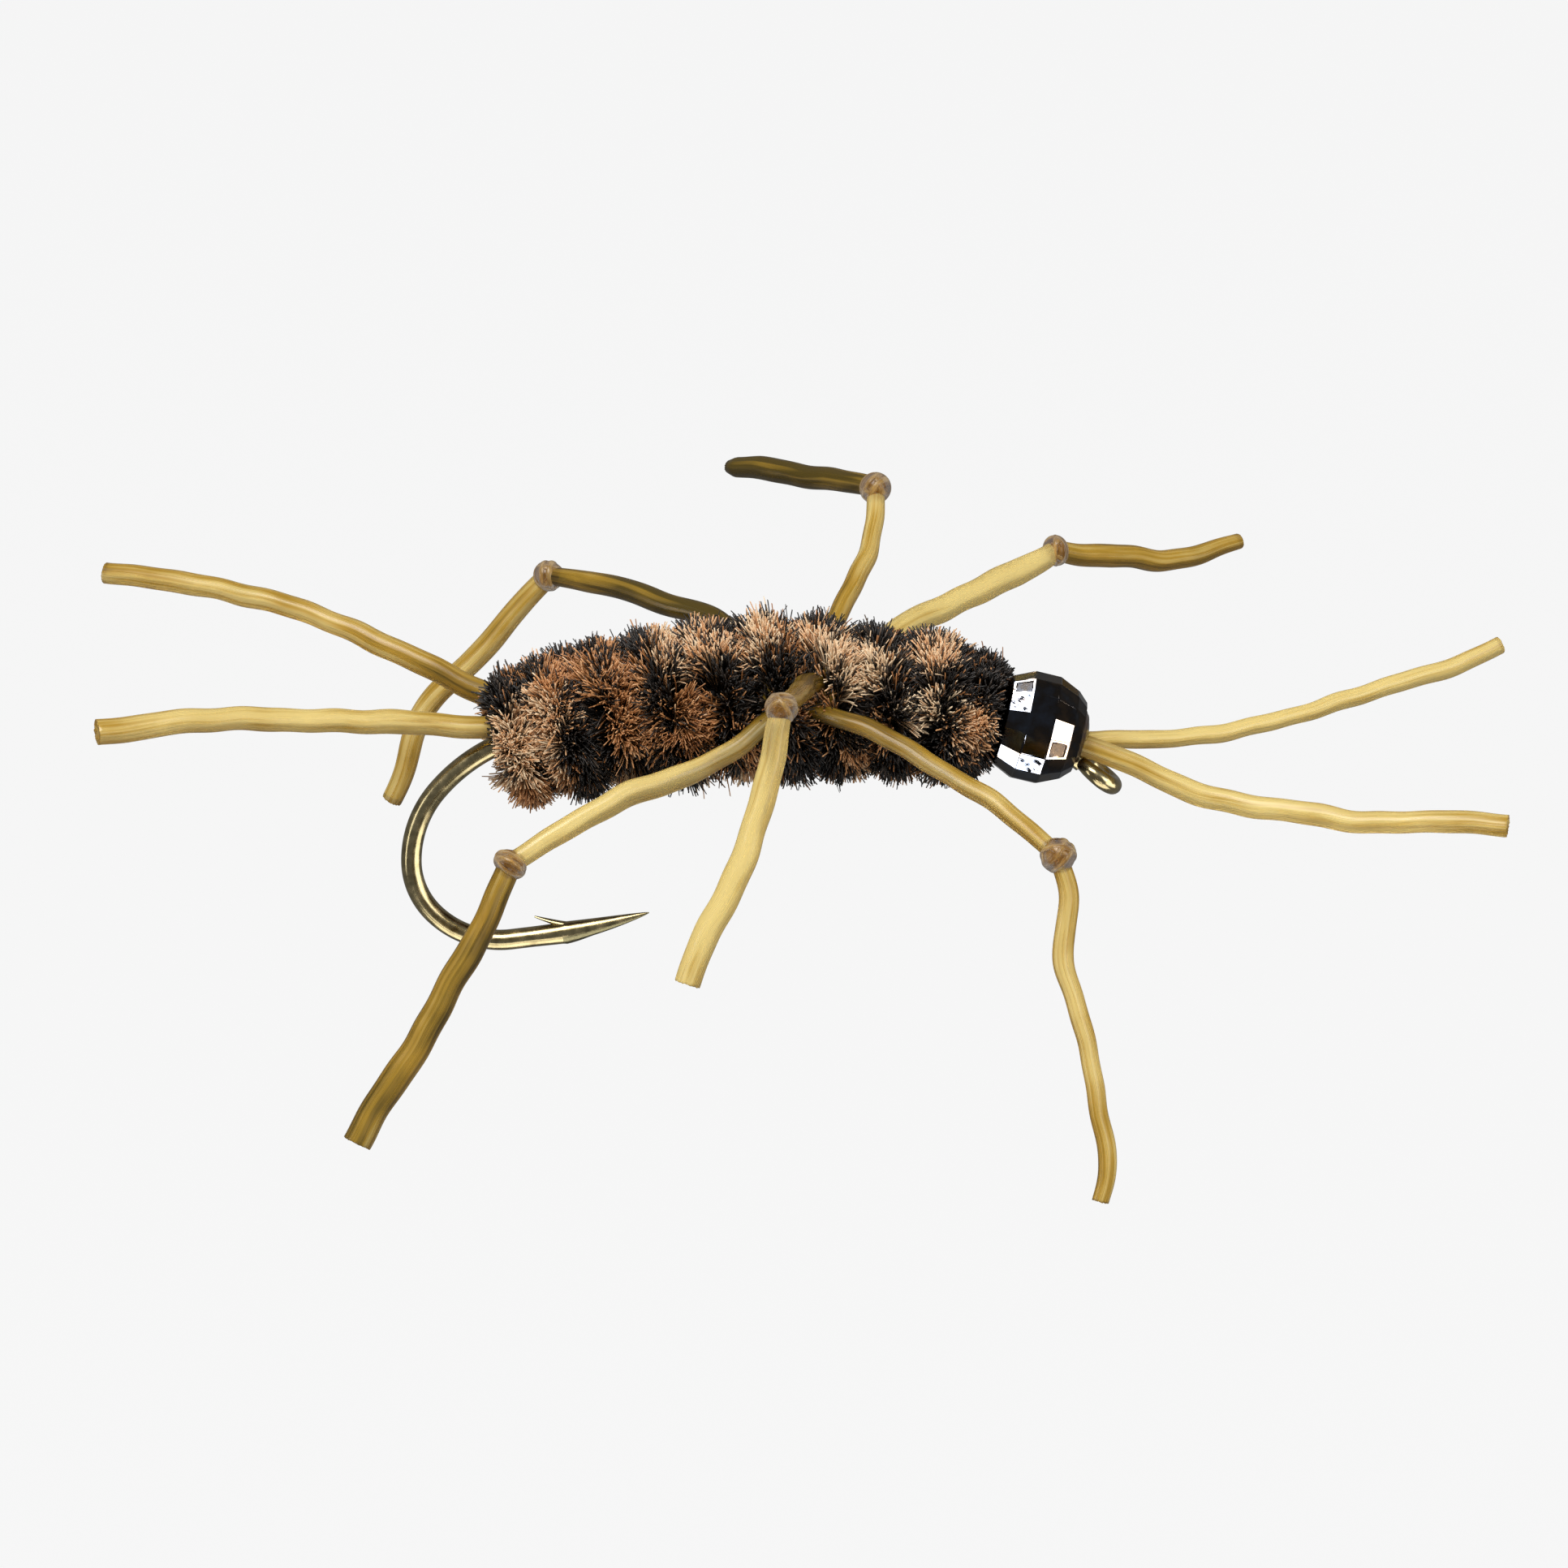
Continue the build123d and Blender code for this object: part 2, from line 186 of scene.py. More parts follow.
def metal(name, broad, stops, roughness, relief, fine=None, rough_from_fine=False, **coat):
    """Bare or plated metal: a broad noise gives its colour and a fine one its small relief."""
    n = Nodes(name)
    mm = n.object_mm()
    broad = n.noise(mm, *broad)
    fine = n.noise(mm, *fine) if fine else broad
    n.link(n.ramp(broad, [(at, rgb(code)) for at, code in stops]), n.shader.inputs["Base Color"])
    n.link(n.grey(fine if rough_from_fine else broad, *roughness), n.shader.inputs["Roughness"])
    n.bump(fine, *relief)
    n.set(Metallic=1.0, **coat)
    return n.mat


def thread_material(name, low, high, coat):
    """Waxed thread; the wraps are in the mesh or follow the turns about the shank."""
    n = Nodes(name)
    mm = n.object_mm()
    ply = n.noise(mm, 5.0, 4.0, 0.6, (6.0, 1.0, 1.0))
    n.link(n.ramp(ply, [(0.3, low), (0.7, high)]), n.shader.inputs["Base Color"])
    n.link(n.grey(ply, 0.3, 0.6), n.shader.inputs["Roughness"])
    n.bump(ply, 0.5, 0.03)
    n.set(Coat_Weight=coat, Coat_Roughness=0.06)
    return n.mat


def fibre_material(name, stops):
    """Cut pile: each fibre has its own tone, with painted shade that darkens it towards its root, deep in the
    pile.
    """
    n = Nodes(name)
    tone = n.attribute("tone").outputs["Fac"]
    along = n.attribute("along").outputs["Fac"]
    base = n.ramp(tone, stops)
    # painted shade: each fibre's colour is scaled down towards its root, for the shade deep in the pile
    root_shade_levels = ((0.0, 0.12), (0.5, 0.5), (0.85, 0.85), (1.0, 1.0))
    shade = n.ramp(along, [(at, (grey,) * 3) for at, grey in root_shade_levels])
    n.link(n.mix("MULTIPLY", 1.0, base, shade), n.shader.inputs["Base Color"])
    grain = n.noise(n.object_mm(), 22.0, 2.0)
    n.link(n.grey(grain, 0.32, 0.55), n.shader.inputs["Roughness"])
    n.set(Specular_IOR_Level=0.55)
    return n.mat


bronze = metal("hook_bronze", (2.2, 5.0), [(0.3, "8C7F5C"), (0.55, "B0A27A"), (0.8, "CDB88C")],
               (0.16, 0.30), (0.02, 0.01), fine=(30.0, 3.0), Coat_Weight=0.25, Coat_Roughness=0.1)
# where the point is ground: scratches along it, and no lacquer
ground = metal("hook_ground_point", (4.0, 5.0, 0.6, (0.6, 8.0, 8.0)), [(0.3, "5B553F"), (0.7, "8F8868")],
               (0.22, 0.4), (0.25, 0.015))
# The black nickel's colour noise is partly painted sheen: its bluish and brown patches, lighter than the
# plating's own black, stand in for the sheen on the facets.
nickel = metal("bead_black_nickel", (0.9, 5.0, 0.6), [(0.3, "444C5A"), (0.5, "363230"), (0.7, "584838")],
               (0.05, 0.16), (0.06, 0.01), fine=(9.0, 6.0, 0.7, (0.4, 3.0, 1.0)), rough_from_fine=True,
               Coat_Weight=0.1, Coat_Roughness=0.03)
lead = metal("weight_wire_grey", (6.0, 5.0), [(0.3, "5E6064"), (0.7, "8A8C90")], (0.35, 0.6), (0.2, 0.02))
head_thread = thread_material("thread_head_lacquered", rgb("1B0F08"), rgb("4A2C18"), 0.9)
body_thread = thread_material("thread_waxed", rgb("17110C"), rgb("3A2A1E"), 0.1)
tan_fibre = fibre_material("fibre_copper_brown", [
    (0.0, rgb("704624")), (0.35, rgb("B07440")), (0.65, rgb("E8AC74")), (1.0, rgb("FFE4BE"))])
black_fibre = fibre_material("fibre_black", [
    (0.0, rgb("0A0807")), (0.45, rgb("1C1612")), (0.8, rgb("43362C")), (1.0, rgb("8E7A68"))])


# ---- mesh helpers
def piece(name, verts, faces, material, smooth=True, attributes=None):
    """A mesh object from points in millimetres and faces of any size."""
    mesh = bpy.data.meshes.new(name)
    mesh.from_pydata((np.asarray(verts, float) * MM).tolist(), [], faces)
    materials = material if isinstance(material, (list, tuple)) else [material]
    for m in materials:
        mesh.materials.append(m)
    mesh.polygons.foreach_set("use_smooth", [smooth] * len(mesh.polygons))
    for key, values in (attributes or {}).items():
        values = np.asarray(values, np.float32)
        kind = "FLOAT" if values.ndim == 1 else "FLOAT_VECTOR"
        data = mesh.attributes.new(key, kind, "POINT").data
        data.foreach_set("value" if values.ndim == 1 else "vector", values.ravel())
    mesh.update()
    obj = bpy.data.objects.new(name, mesh)
    bpy.context.scene.collection.objects.link(obj)
    return obj


def spline(points, count):
    """A natural cubic spline through the points, sampled evenly by chord."""
    p = np.array(points, float)
    t = distance_along(p)
    n = len(p)
    h = np.diff(t)
    a = np.zeros((n, n))
    b = np.zeros((n, p.shape[1]))
    a[0, 0] = a[-1, -1] = 1
    for i in range(1, n - 1):
        a[i, i - 1], a[i, i], a[i, i + 1] = h[i - 1], 2 * (h[i - 1] + h[i]), h[i]
        b[i] = 6 * ((p[i + 1] - p[i]) / h[i] - (p[i] - p[i - 1]) / h[i - 1])
    m = np.linalg.solve(a, b)
    s = np.linspace(0, t[-1], count)
    k = np.clip(np.searchsorted(t, s, side="right") - 1, 0, n - 2)
    hk = h[k][:, None]
    u, v = (t[k + 1] - s)[:, None], (s - t[k])[:, None]
    return (m[k] * u ** 3 + m[k + 1] * v ** 3) / (6 * hk) + (
        p[k] / hk - m[k] * hk / 6) * u + (p[k + 1] / hk - m[k + 1] * hk / 6) * v


def frames_along(path, first=(0, 0, 1)):
    """Tangents and two side directions that don't spin along the path."""
    tangent = np.gradient(path, axis=0)
    tangent /= np.linalg.norm(tangent, axis=1)[:, None]
    side = np.zeros_like(path)
    now = np.array(first, float)
    for i, t in enumerate(tangent):
        now = now - t * (now @ t)
        now /= np.linalg.norm(now)
        side[i] = now
    return tangent, side, np.cross(tangent, side)


def grid_faces(rows, columns, closed=True):
    """Quads of a grid of points, closed round the columns."""
    faces = []
    for i in range(rows - 1):
        for j in range(columns if closed else columns - 1):
            k = (j + 1) % columns
            faces.append((i * columns + j, i * columns + k, (i + 1) * columns + k, (i + 1) * columns + j))
    return faces


def add_tube(verts, faces, rings):
    """Adds rings of points, the quads between them and a face over each end."""
    base, columns, rows = len(verts), len(rings[0]), len(rings)
    for ring in rings:
        verts.extend(tuple(p) for p in ring)
    faces.extend(tuple(base + k for k in f) for f in grid_faces(rows, columns))
    faces.append(tuple(base + j for j in range(columns))[::-1])
    faces.append(tuple(base + (rows - 1) * columns + j for j in range(columns)))


def interp(table, x):
    """A table of (place, value) pairs read at x, with straight lines between them."""
    xs, ys = zip(*table)
    return np.interp(x, xs, ys)


def distance_along(path):
    """The distance from the start of a path to each of its points."""
    return np.concatenate([[0], np.cumsum(np.linalg.norm(np.diff(path, axis=0), axis=1))])


def unit(vector):
    return vector / np.linalg.norm(vector)


def crease(obj, degrees):
    """Smooth shading, but with edges sharper than this left crisp."""
    obj.data.set_sharp_from_angle(angle=math.radians(degrees))


# ---- camera, floor and light
TARGET = Vector((-12.70, 0.0, -0.44)) * MM
DISTANCE, FIELD = 0.250, 0.06355  # the field is how much of the fly's own plane the frame spans
camera_data = bpy.data.cameras.new("camera")
camera_data.sensor_width = 36
camera_data.lens = camera_data.sensor_width * DISTANCE / FIELD
camera_data.clip_start = 0.01
camera = bpy.data.objects.new("camera", camera_data)
camera.location = TARGET + DISTANCE * Vector((0, -math.cos(ELEVATION), math.sin(ELEVATION)))
camera.rotation_euler = (math.pi / 2 - ELEVATION, 0, 0)
bpy.context.scene.collection.objects.link(camera)
bpy.context.scene.camera = camera
bpy.context.scene.view_settings.view_transform = "Standard"
bpy.context.scene.view_settings.look = "None"

PALE = 0.922  # the backdrop, as the camera sees it
FLOOR_GLOW = PALE - 0.018  # the floor's own light; the lamps add the rest
FLOOR_Z, FLOOR_HALF = -62, 6000
floor_mat = Nodes("floor_pale")
floor_mat.set(Base_Color=(0.03, 0.03, 0.03, 1), Roughness=1.0, Specular_IOR_Level=0.0)
floor_mat.set(Emission_Color=(1, 1, 1, 1), Emission_Strength=FLOOR_GLOW)
corners = ((-1, -1), (1, -1), (1, 1), (-1, 1))
floor = piece("floor", [(x * FLOOR_HALF, y * FLOOR_HALF, FLOOR_Z) for x, y in corners],
              [(0, 1, 2, 3)], floor_mat.mat, False)
floor.visible_diffuse = False
floor.visible_glossy = False

world = bpy.data.worlds.new("studio")
world.use_nodes = True
bpy.context.scene.world = world
tree = world.node_tree
tree.nodes.clear()
rays = tree.nodes.new("ShaderNodeLightPath")


def background(strength, grey=0.8):
    node = tree.nodes.new("ShaderNodeBackground")
    node.inputs[0].default_value = (grey, grey, grey, 1)
    node.inputs[1].default_value = strength
    return node.outputs[0]


def by_ray(kind, others, this):
    """One background for this kind of ray and another for all others."""
    node = tree.nodes.new("ShaderNodeMixShader")
    for socket, value in zip(node.inputs, (rays.outputs[kind], others, this)):
        tree.links.new(value, socket)
    return node.outputs[0]


# the room is dimmer in reflections, so that the metals and the floss keep their contrast
room = by_ray("Is Glossy Ray", background(0.42), background(0.24))
world_out = tree.nodes.new("ShaderNodeOutputWorld")
tree.links.new(by_ray("Is Camera Ray", room, background(PALE, 1.0)), world_out.inputs[0])


def softbox(name, direction, distance, width, height, radiance, colour=(1, 1, 1), aim=TARGET):
    """A rectangular lamp of even radiance that faces the fly."""
    data = bpy.data.lights.new(name, "AREA")
    data.shape = "RECTANGLE"
    data.size, data.size_y = width, height
    data.energy = radiance * width * height * math.pi
    data.color = colour
    lamp = bpy.data.objects.new(name, data)
    way = Vector(direction).normalized()
    lamp.location = Vector(aim) + way * distance
    lamp.rotation_euler = way.to_track_quat("Z", "Y").to_euler()
    bpy.context.scene.collection.objects.link(lamp)
    return lamp


room_lamps = [
    softbox("key_top_front", (-0.25, -0.75, 1.0), 0.55, 0.34, 0.26, 8.0, (1.0, 0.98, 0.95)),
    softbox("fill_front_right", (0.9, -1.0, 0.35), 0.60, 0.22, 0.30, 3.5, (0.97, 0.98, 1.0)),
    softbox("low_fill", (-0.2, -0.8, -0.6), 0.60, 0.34, 0.14, 3.0, (1.0, 0.97, 0.92)),
    softbox("left_strip", (-1.0, -0.55, 0.05), 0.60, 0.10, 0.40, 4.0),
]
# one lamp for the pile's upper edge and two for the hook; the linking is at the end of the script
pile_lamps = [softbox("rim_back", (0.2, 0.6, 1.0), 0.60, 0.34, 0.26, 5.0)]
hook_lamps = [
    softbox("hook_right", (1.0, -0.42, -0.15), 0.50, 0.50, 0.50, 3.4, (1.0, 0.98, 0.92)),
    softbox("hook_below", (-0.1, -0.42, -1.0), 0.50, 0.60, 0.34, 3.0, (1.0, 0.98, 0.92)),
]

# ---- the shank's line, as in the CAD source
WIRE_R, EYE_TILT = 0.42, math.radians(37)
SHANK_R = 41.0
# radius and degrees of each arc: the neck, the shank, and four that make up the bend
ARCS = [(1.6, 23.8), (SHANK_R, 28.6), (7.3, 34.6), (4.55, 40.0), (3.05, 45.0), (3.8, 52.0)]
EYE_RING_R, NECK_RUN, SPEAR_RUN, POINT_LENGTH = 0.78, 2.07, 2.1, 3.6
FORGED_X = -23.0  # the wire is flattened from here round the bend


def heading_way(h):
    """The way a heading points in the hook's plane, as (x, z)."""
    return np.array([math.cos(h), math.sin(h)])


def outward(h):
    """The way out of the bend at a heading, as (x, z)."""
    return np.array([math.sin(h), -math.cos(h)])


def hook_line():
    """The wire's centre line from eye to spear in (x, z), its heading at each point, and the arcs' centres."""
    heading = math.pi - EYE_TILT
    at = EYE_RING_R * heading_way(heading)
    points = [at + s * heading_way(heading) for s in np.linspace(0, NECK_RUN, 10)]
    headings = [heading] * len(points)
    centres = []
    for radius, degrees in ARCS:
        centre = points[-1] - radius * outward(heading)
        centres.append(centre)
        steps = max(8, int(degrees * 1.3))
        for a in np.linspace(0, math.radians(degrees), steps)[1:]:
            points.append(centre + radius * outward(heading + a))
            headings.append(heading + a)
        heading += math.radians(degrees)
    at = points[-1]
    for s in np.linspace(0, SPEAR_RUN, 8)[1:]:
        points.append(at + s * heading_way(heading))
        headings.append(heading)
    return np.array(points), np.array(headings), centres


line, headings, arc_centres = hook_line()
SHANK_CENTRE = arc_centres[1]


def shank_at(x):
    """Centre of the shank at x, and the directions up from it and forward along it."""
    z = SHANK_CENTRE[1] + np.sqrt(SHANK_R ** 2 - (x - SHANK_CENTRE[0]) ** 2)
    up = np.stack([(x - SHANK_CENTRE[0]) / SHANK_R, 0 * x, (z - SHANK_CENTRE[1]) / SHANK_R], -1)
    forward = np.stack([up[..., 2], 0 * x, -up[..., 0]], -1)
    return np.stack([x, 0 * x, z], -1), up, forward


# ---- hook
def make_hook():
    """The wire, round at the shank, forged flat round the bend, then ground to its point."""
    run = distance_along(line)
    total, bend_from = run[-1], run[np.argmin(abs(line[:, 0] - FORGED_X))]
    places = (0, bend_from, bend_from + 4, total - 2, total)
    tall, wide, flat = (interp(list(zip(places, values)), run) for values in (
        (WIRE_R, WIRE_R, 0.475, 0.475, 0.45), (WIRE_R, WIRE_R, 0.36, 0.36, 0.40), (0.0, 0.0, 0.75, 0.75, 0.2)))
    sides = 40
    ring_angles = np.linspace(0, 2 * math.pi, sides, endpoint=False)
    verts, faces, rings = [], [], []
    for p, h, a, b, f in zip(line, headings, tall, wide, flat):
        out, ring = outward(h), []
        for t in ring_angles:
            c, s = math.cos(t), math.sin(t)
            u = a * math.copysign(abs(c) ** (1 - 0.12 * f), c)
            w = b * math.copysign(abs(s) ** (1 - 0.35 * f), s)
            ring.append((p[0] + out[0] * u, w, p[1] + out[1] * u))
        rings.append(ring)
    # the point: its top stays near level, its belly and sides are ground up to it
    end, along, out = line[-1], heading_way(headings[-1]), outward(headings[-1])
    steps = 26
    for i in range(1, steps + 1):
        s = i / steps
        shrink = (1 - s ** 1.3) ** 0.8
        a, b = 0.45 * shrink + 0.02, 0.40 * shrink + 0.02
        rise = 0.42 * s ** 1.5
        grind = min(1.0, s * 3) ** 2
        centre, ring = end + along * POINT_LENGTH * s - out * rise, []
        for t in ring_angles:
            c, w = math.cos(t), math.sin(t)
            u, v = a * c, b * w
            if c > 0:
                flat_out = 0.62 * a + 0.25 * a * (1 - abs(w))
                u = u * (1 - grind) + min(u, flat_out) * grind
                v = v * (1 - 0.12 * grind * c)
            ring.append((centre[0] + out[0] * u, v, centre[1] + out[1] * u))
        rings.append(ring)
    add_tube(verts, faces, rings)
    first_ground, last_ground = (len(line) - 1) * sides, (len(rings) - 1) * sides

    # the barb: a sliver cut up from the top of the spear, leaning back towards the bend
    foot = end - along * 0.25
    count, around, rings = 14, 12, []
    for i in range(count):
        s = i / (count - 1)
        width = 0.19 * (1 - s ** 2 * 0.75)
        thick = 0.10 * (1 - s) ** 0.8 + 0.03
        back, high, ring = -0.45 + 1.25 * s, 0.33 + 0.50 * s ** 1.15, []
        for j in range(around):
            t = 2 * math.pi * j / around
            q = foot - along * (back - thick * 0.5 * math.cos(t)) - out * (high + thick * math.cos(t))
            ring.append((q[0], width * math.sin(t), q[1]))
        rings.append(ring)
    add_tube(verts, faces, rings)

    # the eye: the wire's thinned end is turned round a full ring, which lies across the hook's plane,
    # and closes against the neck
    toward, up = heading_way(math.pi - EYE_TILT), np.array([math.sin(EYE_TILT), 0, math.cos(EYE_TILT)])
    steps, around, rings = 72, 24, []
    for i in range(steps):
        a = math.radians(8 + 344 * i / (steps - 1))
        wire = 0.37 - 0.10 * max(0.0, (i / (steps - 1) - 0.72) / 0.28)
        radial = np.array([toward[0] * math.cos(a), math.sin(a), toward[1] * math.cos(a)])
        turns = [2 * math.pi * j / around for j in range(around)]
        rings.append([radial * (EYE_RING_R + wire * math.cos(t)) + up * wire * math.sin(t) for t in turns])
    add_tube(verts, faces, rings)
    obj = piece("hook_wire", verts, faces, [bronze, ground])
    for polygon in obj.data.polygons:
        if first_ground <= polygon.index < last_ground and math.cos(ring_angles[polygon.index % sides]) > 0.15:
            polygon.material_index = 1
    obj.data.update()
    crease(obj, 40)
    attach(obj, ROOT)
    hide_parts("hook")


make_hook()

# ---- bead
BEAD_X, BEAD_R, FACETS, BEAD_TURN = -2.52, 2.3, 16, 21.0
LATITUDES = [-54, -36, -13, 13, 36, 51]  # degrees at the edges of the bands, rear to front
BORE_R = 0.62
bead_centre, bead_up, bead_forward = (v[0] for v in shank_at(np.array([BEAD_X])))
bead_side = np.array([0.0, 1.0, 0.0])
facet_centres = {}


def bead_point(along, radius, degrees):
    """A point this far forward and out from the bead's centre, at degrees round its axis from +Y."""
    t = math.radians(degrees)
    inward = np.cross(bead_forward, bead_side)
    return bead_centre + bead_forward * along + radius * (bead_side * math.cos(t) + inward * math.sin(t))


def facing_row(degrees_down):
    """The row of facets whose middle is this far down from the side that faces the camera's way."""
    gaps = []
    for f in range(FACETS):
        out = bead_point(0, 1, BEAD_TURN + (f + 0.5) * 360 / FACETS) - bead_centre
        angle = math.degrees(math.atan2(-out[2], -out[1])) + math.degrees(ELEVATION)
        gaps.append((abs((angle - degrees_down + 180) % 360 - 180), f))
    return min(gaps)[1]


# The facets that catch the light: band, degrees down from the side that faces the eye, finish,
# radiance of the card mirrored in it, tint
GLINTS = [
    (1, -45.75, "dished", 57.0, (1.0, 0.98, 0.95)),
    (1, -23.25, "chipped", 57.0, (1.0, 0.96, 0.90)),
    (3, -0.75, "flat", 66.0, (1.0, 1.0, 1.0)),
    (3, 21.75, "dished", 57.0, (1.0, 1.0, 1.0)),
    (1, 44.25, "flat", 57.0, (1.0, 0.96, 0.86)),
    (2, 44.25, "chipped", 57.0, (1.0, 1.0, 1.0)),
]
FINISH = {(band, facing_row(down)): kind for band, down, kind, radiance, tint in GLINTS}


def make_bead():
    """Five bands of polished facets. Each has a narrow rounded border and a slightly tipped middle."""
    rng = np.random.default_rng(11)
    verts, faces = [], []

    def add(p):
        verts.append(tuple(p))
        return len(verts) - 1

    def facet(quad, key):
        q = [np.array(p) for p in quad]
        middle = sum(q) / len(q)
        normal = unit(np.cross(q[1] - q[0], q[3] - q[0]))
        if normal @ (middle - bead_centre) < 0:
            normal = -normal
        facet_centres[key] = (middle, normal)
        kind = FINISH.get(key, "plain")
        e1 = unit(q[1] - q[0])
        e2 = np.cross(normal, e1)

        def ring(scale, lift=0.0, tip1=0.0, tip2=0.0, ragged=0.0):
            """Four points to a side, round the facet at this scale."""
            found = []
            for k in range(16):
                p = q[k // 4] + (q[(k // 4 + 1) % 4] - q[k // 4]) * (k % 4) / 4
                r = (p - middle) * (scale + ragged * rng.uniform(-1, 1))
                found.append(add(middle + r + normal * (lift + tip1 * (r @ e1) + tip2 * (r @ e2))))
            return found

        rings = [ring(1.0), ring(0.965, 0.003)]
        if kind == "dished":
            # polished with a soft wheel: the middle dips and tips away from the border
            rings += [ring(0.78, 0.003, ragged=0.05), ring(0.68, -0.012, 0.055, -0.03, 0.05)]
        elif kind == "plain":
            rings.append(ring(0.9, 0.0, *rng.normal(0, 0.02, 2)))
        for ring_a, ring_b in zip(rings, rings[1:]):
            for i in range(16):
                j = (i + 1) % 16
                faces.append((ring_a[i], ring_a[j], ring_b[j], ring_b[i]))
        if kind == "chipped":
            # a lightly hammered middle, so that its reflection breaks up
            n, base = 8, len(verts)
            c0, c1, c2, c3 = (np.array(verts[k]) for k in rings[-1][::4])
            for a in range(n + 1):
                for b in range(n + 1):
                    u, v = a / n, b / n
                    p = (c0 * (1 - u) + c1 * u) * (1 - v) + (c3 * (1 - u) + c2 * u) * v
                    inner_point = 0 < a < n and 0 < b < n
                    add(p + normal * (rng.normal(0, 0.0027) if inner_point else 0))
            for f in grid_faces(n + 1, n + 1, closed=False):
                faces.append(tuple(base + k for k in (f[0], f[3], f[2], f[1])))
        else:
            faces.append(tuple(rings[-1]))

    for b, edges in enumerate(zip(LATITUDES, LATITUDES[1:])):
        z0, z1 = (BEAD_R * math.sin(math.radians(v)) for v in edges)
        r0, r1 = (BEAD_R * math.cos(math.radians(v)) for v in edges)
        for f in range(FACETS):
            a0, a1 = BEAD_TURN + f * 360 / FACETS, BEAD_TURN + (f + 1) * 360 / FACETS
            corners = ((z0, r0, a0), (z0, r0, a1), (z1, r1, a1), (z1, r1, a0))
            facet([bead_point(*corner) for corner in corners], (b, f))

    def lathe(profile, steps=64):
        """A turned surface, from (forward, radius) pairs."""
        base = len(verts)
        for along, radius in profile:
            for j in range(steps):
                verts.append(tuple(bead_point(along, radius, BEAD_TURN + 360 * j / steps)))
        faces.extend(tuple(base + k for k in f) for f in grid_faces(len(profile), steps))

    # the front rim and the countersunk recess down to the bore, then the rear face and the bore
    edge, rim_r = (BEAD_R * f(math.radians(LATITUDES[-1])) for f in (math.sin, math.cos))
    lathe([(edge, rim_r * 0.985), (edge + 0.012, 1.30), (edge - 0.02, 1.262), (0.9, 1.17), (0.2, 1.10),
           (-0.2, BORE_R)])
    lathe([(-1.86, 1.33), (-1.87, 1.28), (-1.86, 0.70), (-1.78, BORE_R), (-0.2, BORE_R)])
    obj = piece("bead_faceted", verts, faces, nickel, False)
    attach(obj, ROOT)
    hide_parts("bead")


make_bead()


def glint(name, key, size, radiance, colour, distance):
    """A small card where the camera sees it mirrored in one facet."""
    middle, normal = (Vector(v) for v in facet_centres[key])
    eye = (camera.location / MM - middle).normalized()
    way = 2 * normal.dot(eye) * normal - eye
    return softbox(name, way, distance, size, size, radiance, colour, aim=middle * MM)


CARD, CHIPPED_CARD, SOFT_CARD = 0.045, 0.058, 0.19
bead_lamps = []
for index, (band, down, kind, radiance, tint) in enumerate(GLINTS):
    key = (band, facing_row(down))
    size = CHIPPED_CARD if kind == "chipped" else CARD
    bead_lamps.append(glint(f"glint_{index}", key, size, radiance, tint, 0.42))
    if kind == "dished":
        bead_lamps.append(glint(f"glint_{index}_soft", key, SOFT_CARD, 3.4, tint, 0.44))


# ---- thread head
def make_head():
    """Turns of thread built up in the bead's recess, under a coat of cement."""
    rows, columns = 64, 72
    back, front, crown, foot_r, head_r, thread = 0.3, 1.66, 0.46, 1.06, 1.21, 0.13
    verts = []
    for i in range(rows):
        s = i / (rows - 1)
        if s < 0.6:
            along, radius = back + (front - back) * s / 0.6, foot_r + (head_r - foot_r) * s / 0.6
        else:
            t = (s - 0.6) / 0.4 * math.pi / 2
            along, radius = front + crown * math.sin(t), head_r * math.cos(t) ** 0.8 + 0.001
        for j in range(columns):
            ridge = 0.022 * abs(math.sin(math.pi * (along / thread + j / columns)))
            out = radius * 0.99 + ridge * min(1, radius)
            verts.append(tuple(bead_point(along + ridge * 0.5, out, 360 * j / columns)))
    obj = piece("thread_head_wraps", verts, grid_faces(rows, columns), head_thread)
    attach(obj, ROOT)
    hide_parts("thread_head")


make_head()


# ---- floss strands
KINKS = 0.75  # how uneven a cut strand is


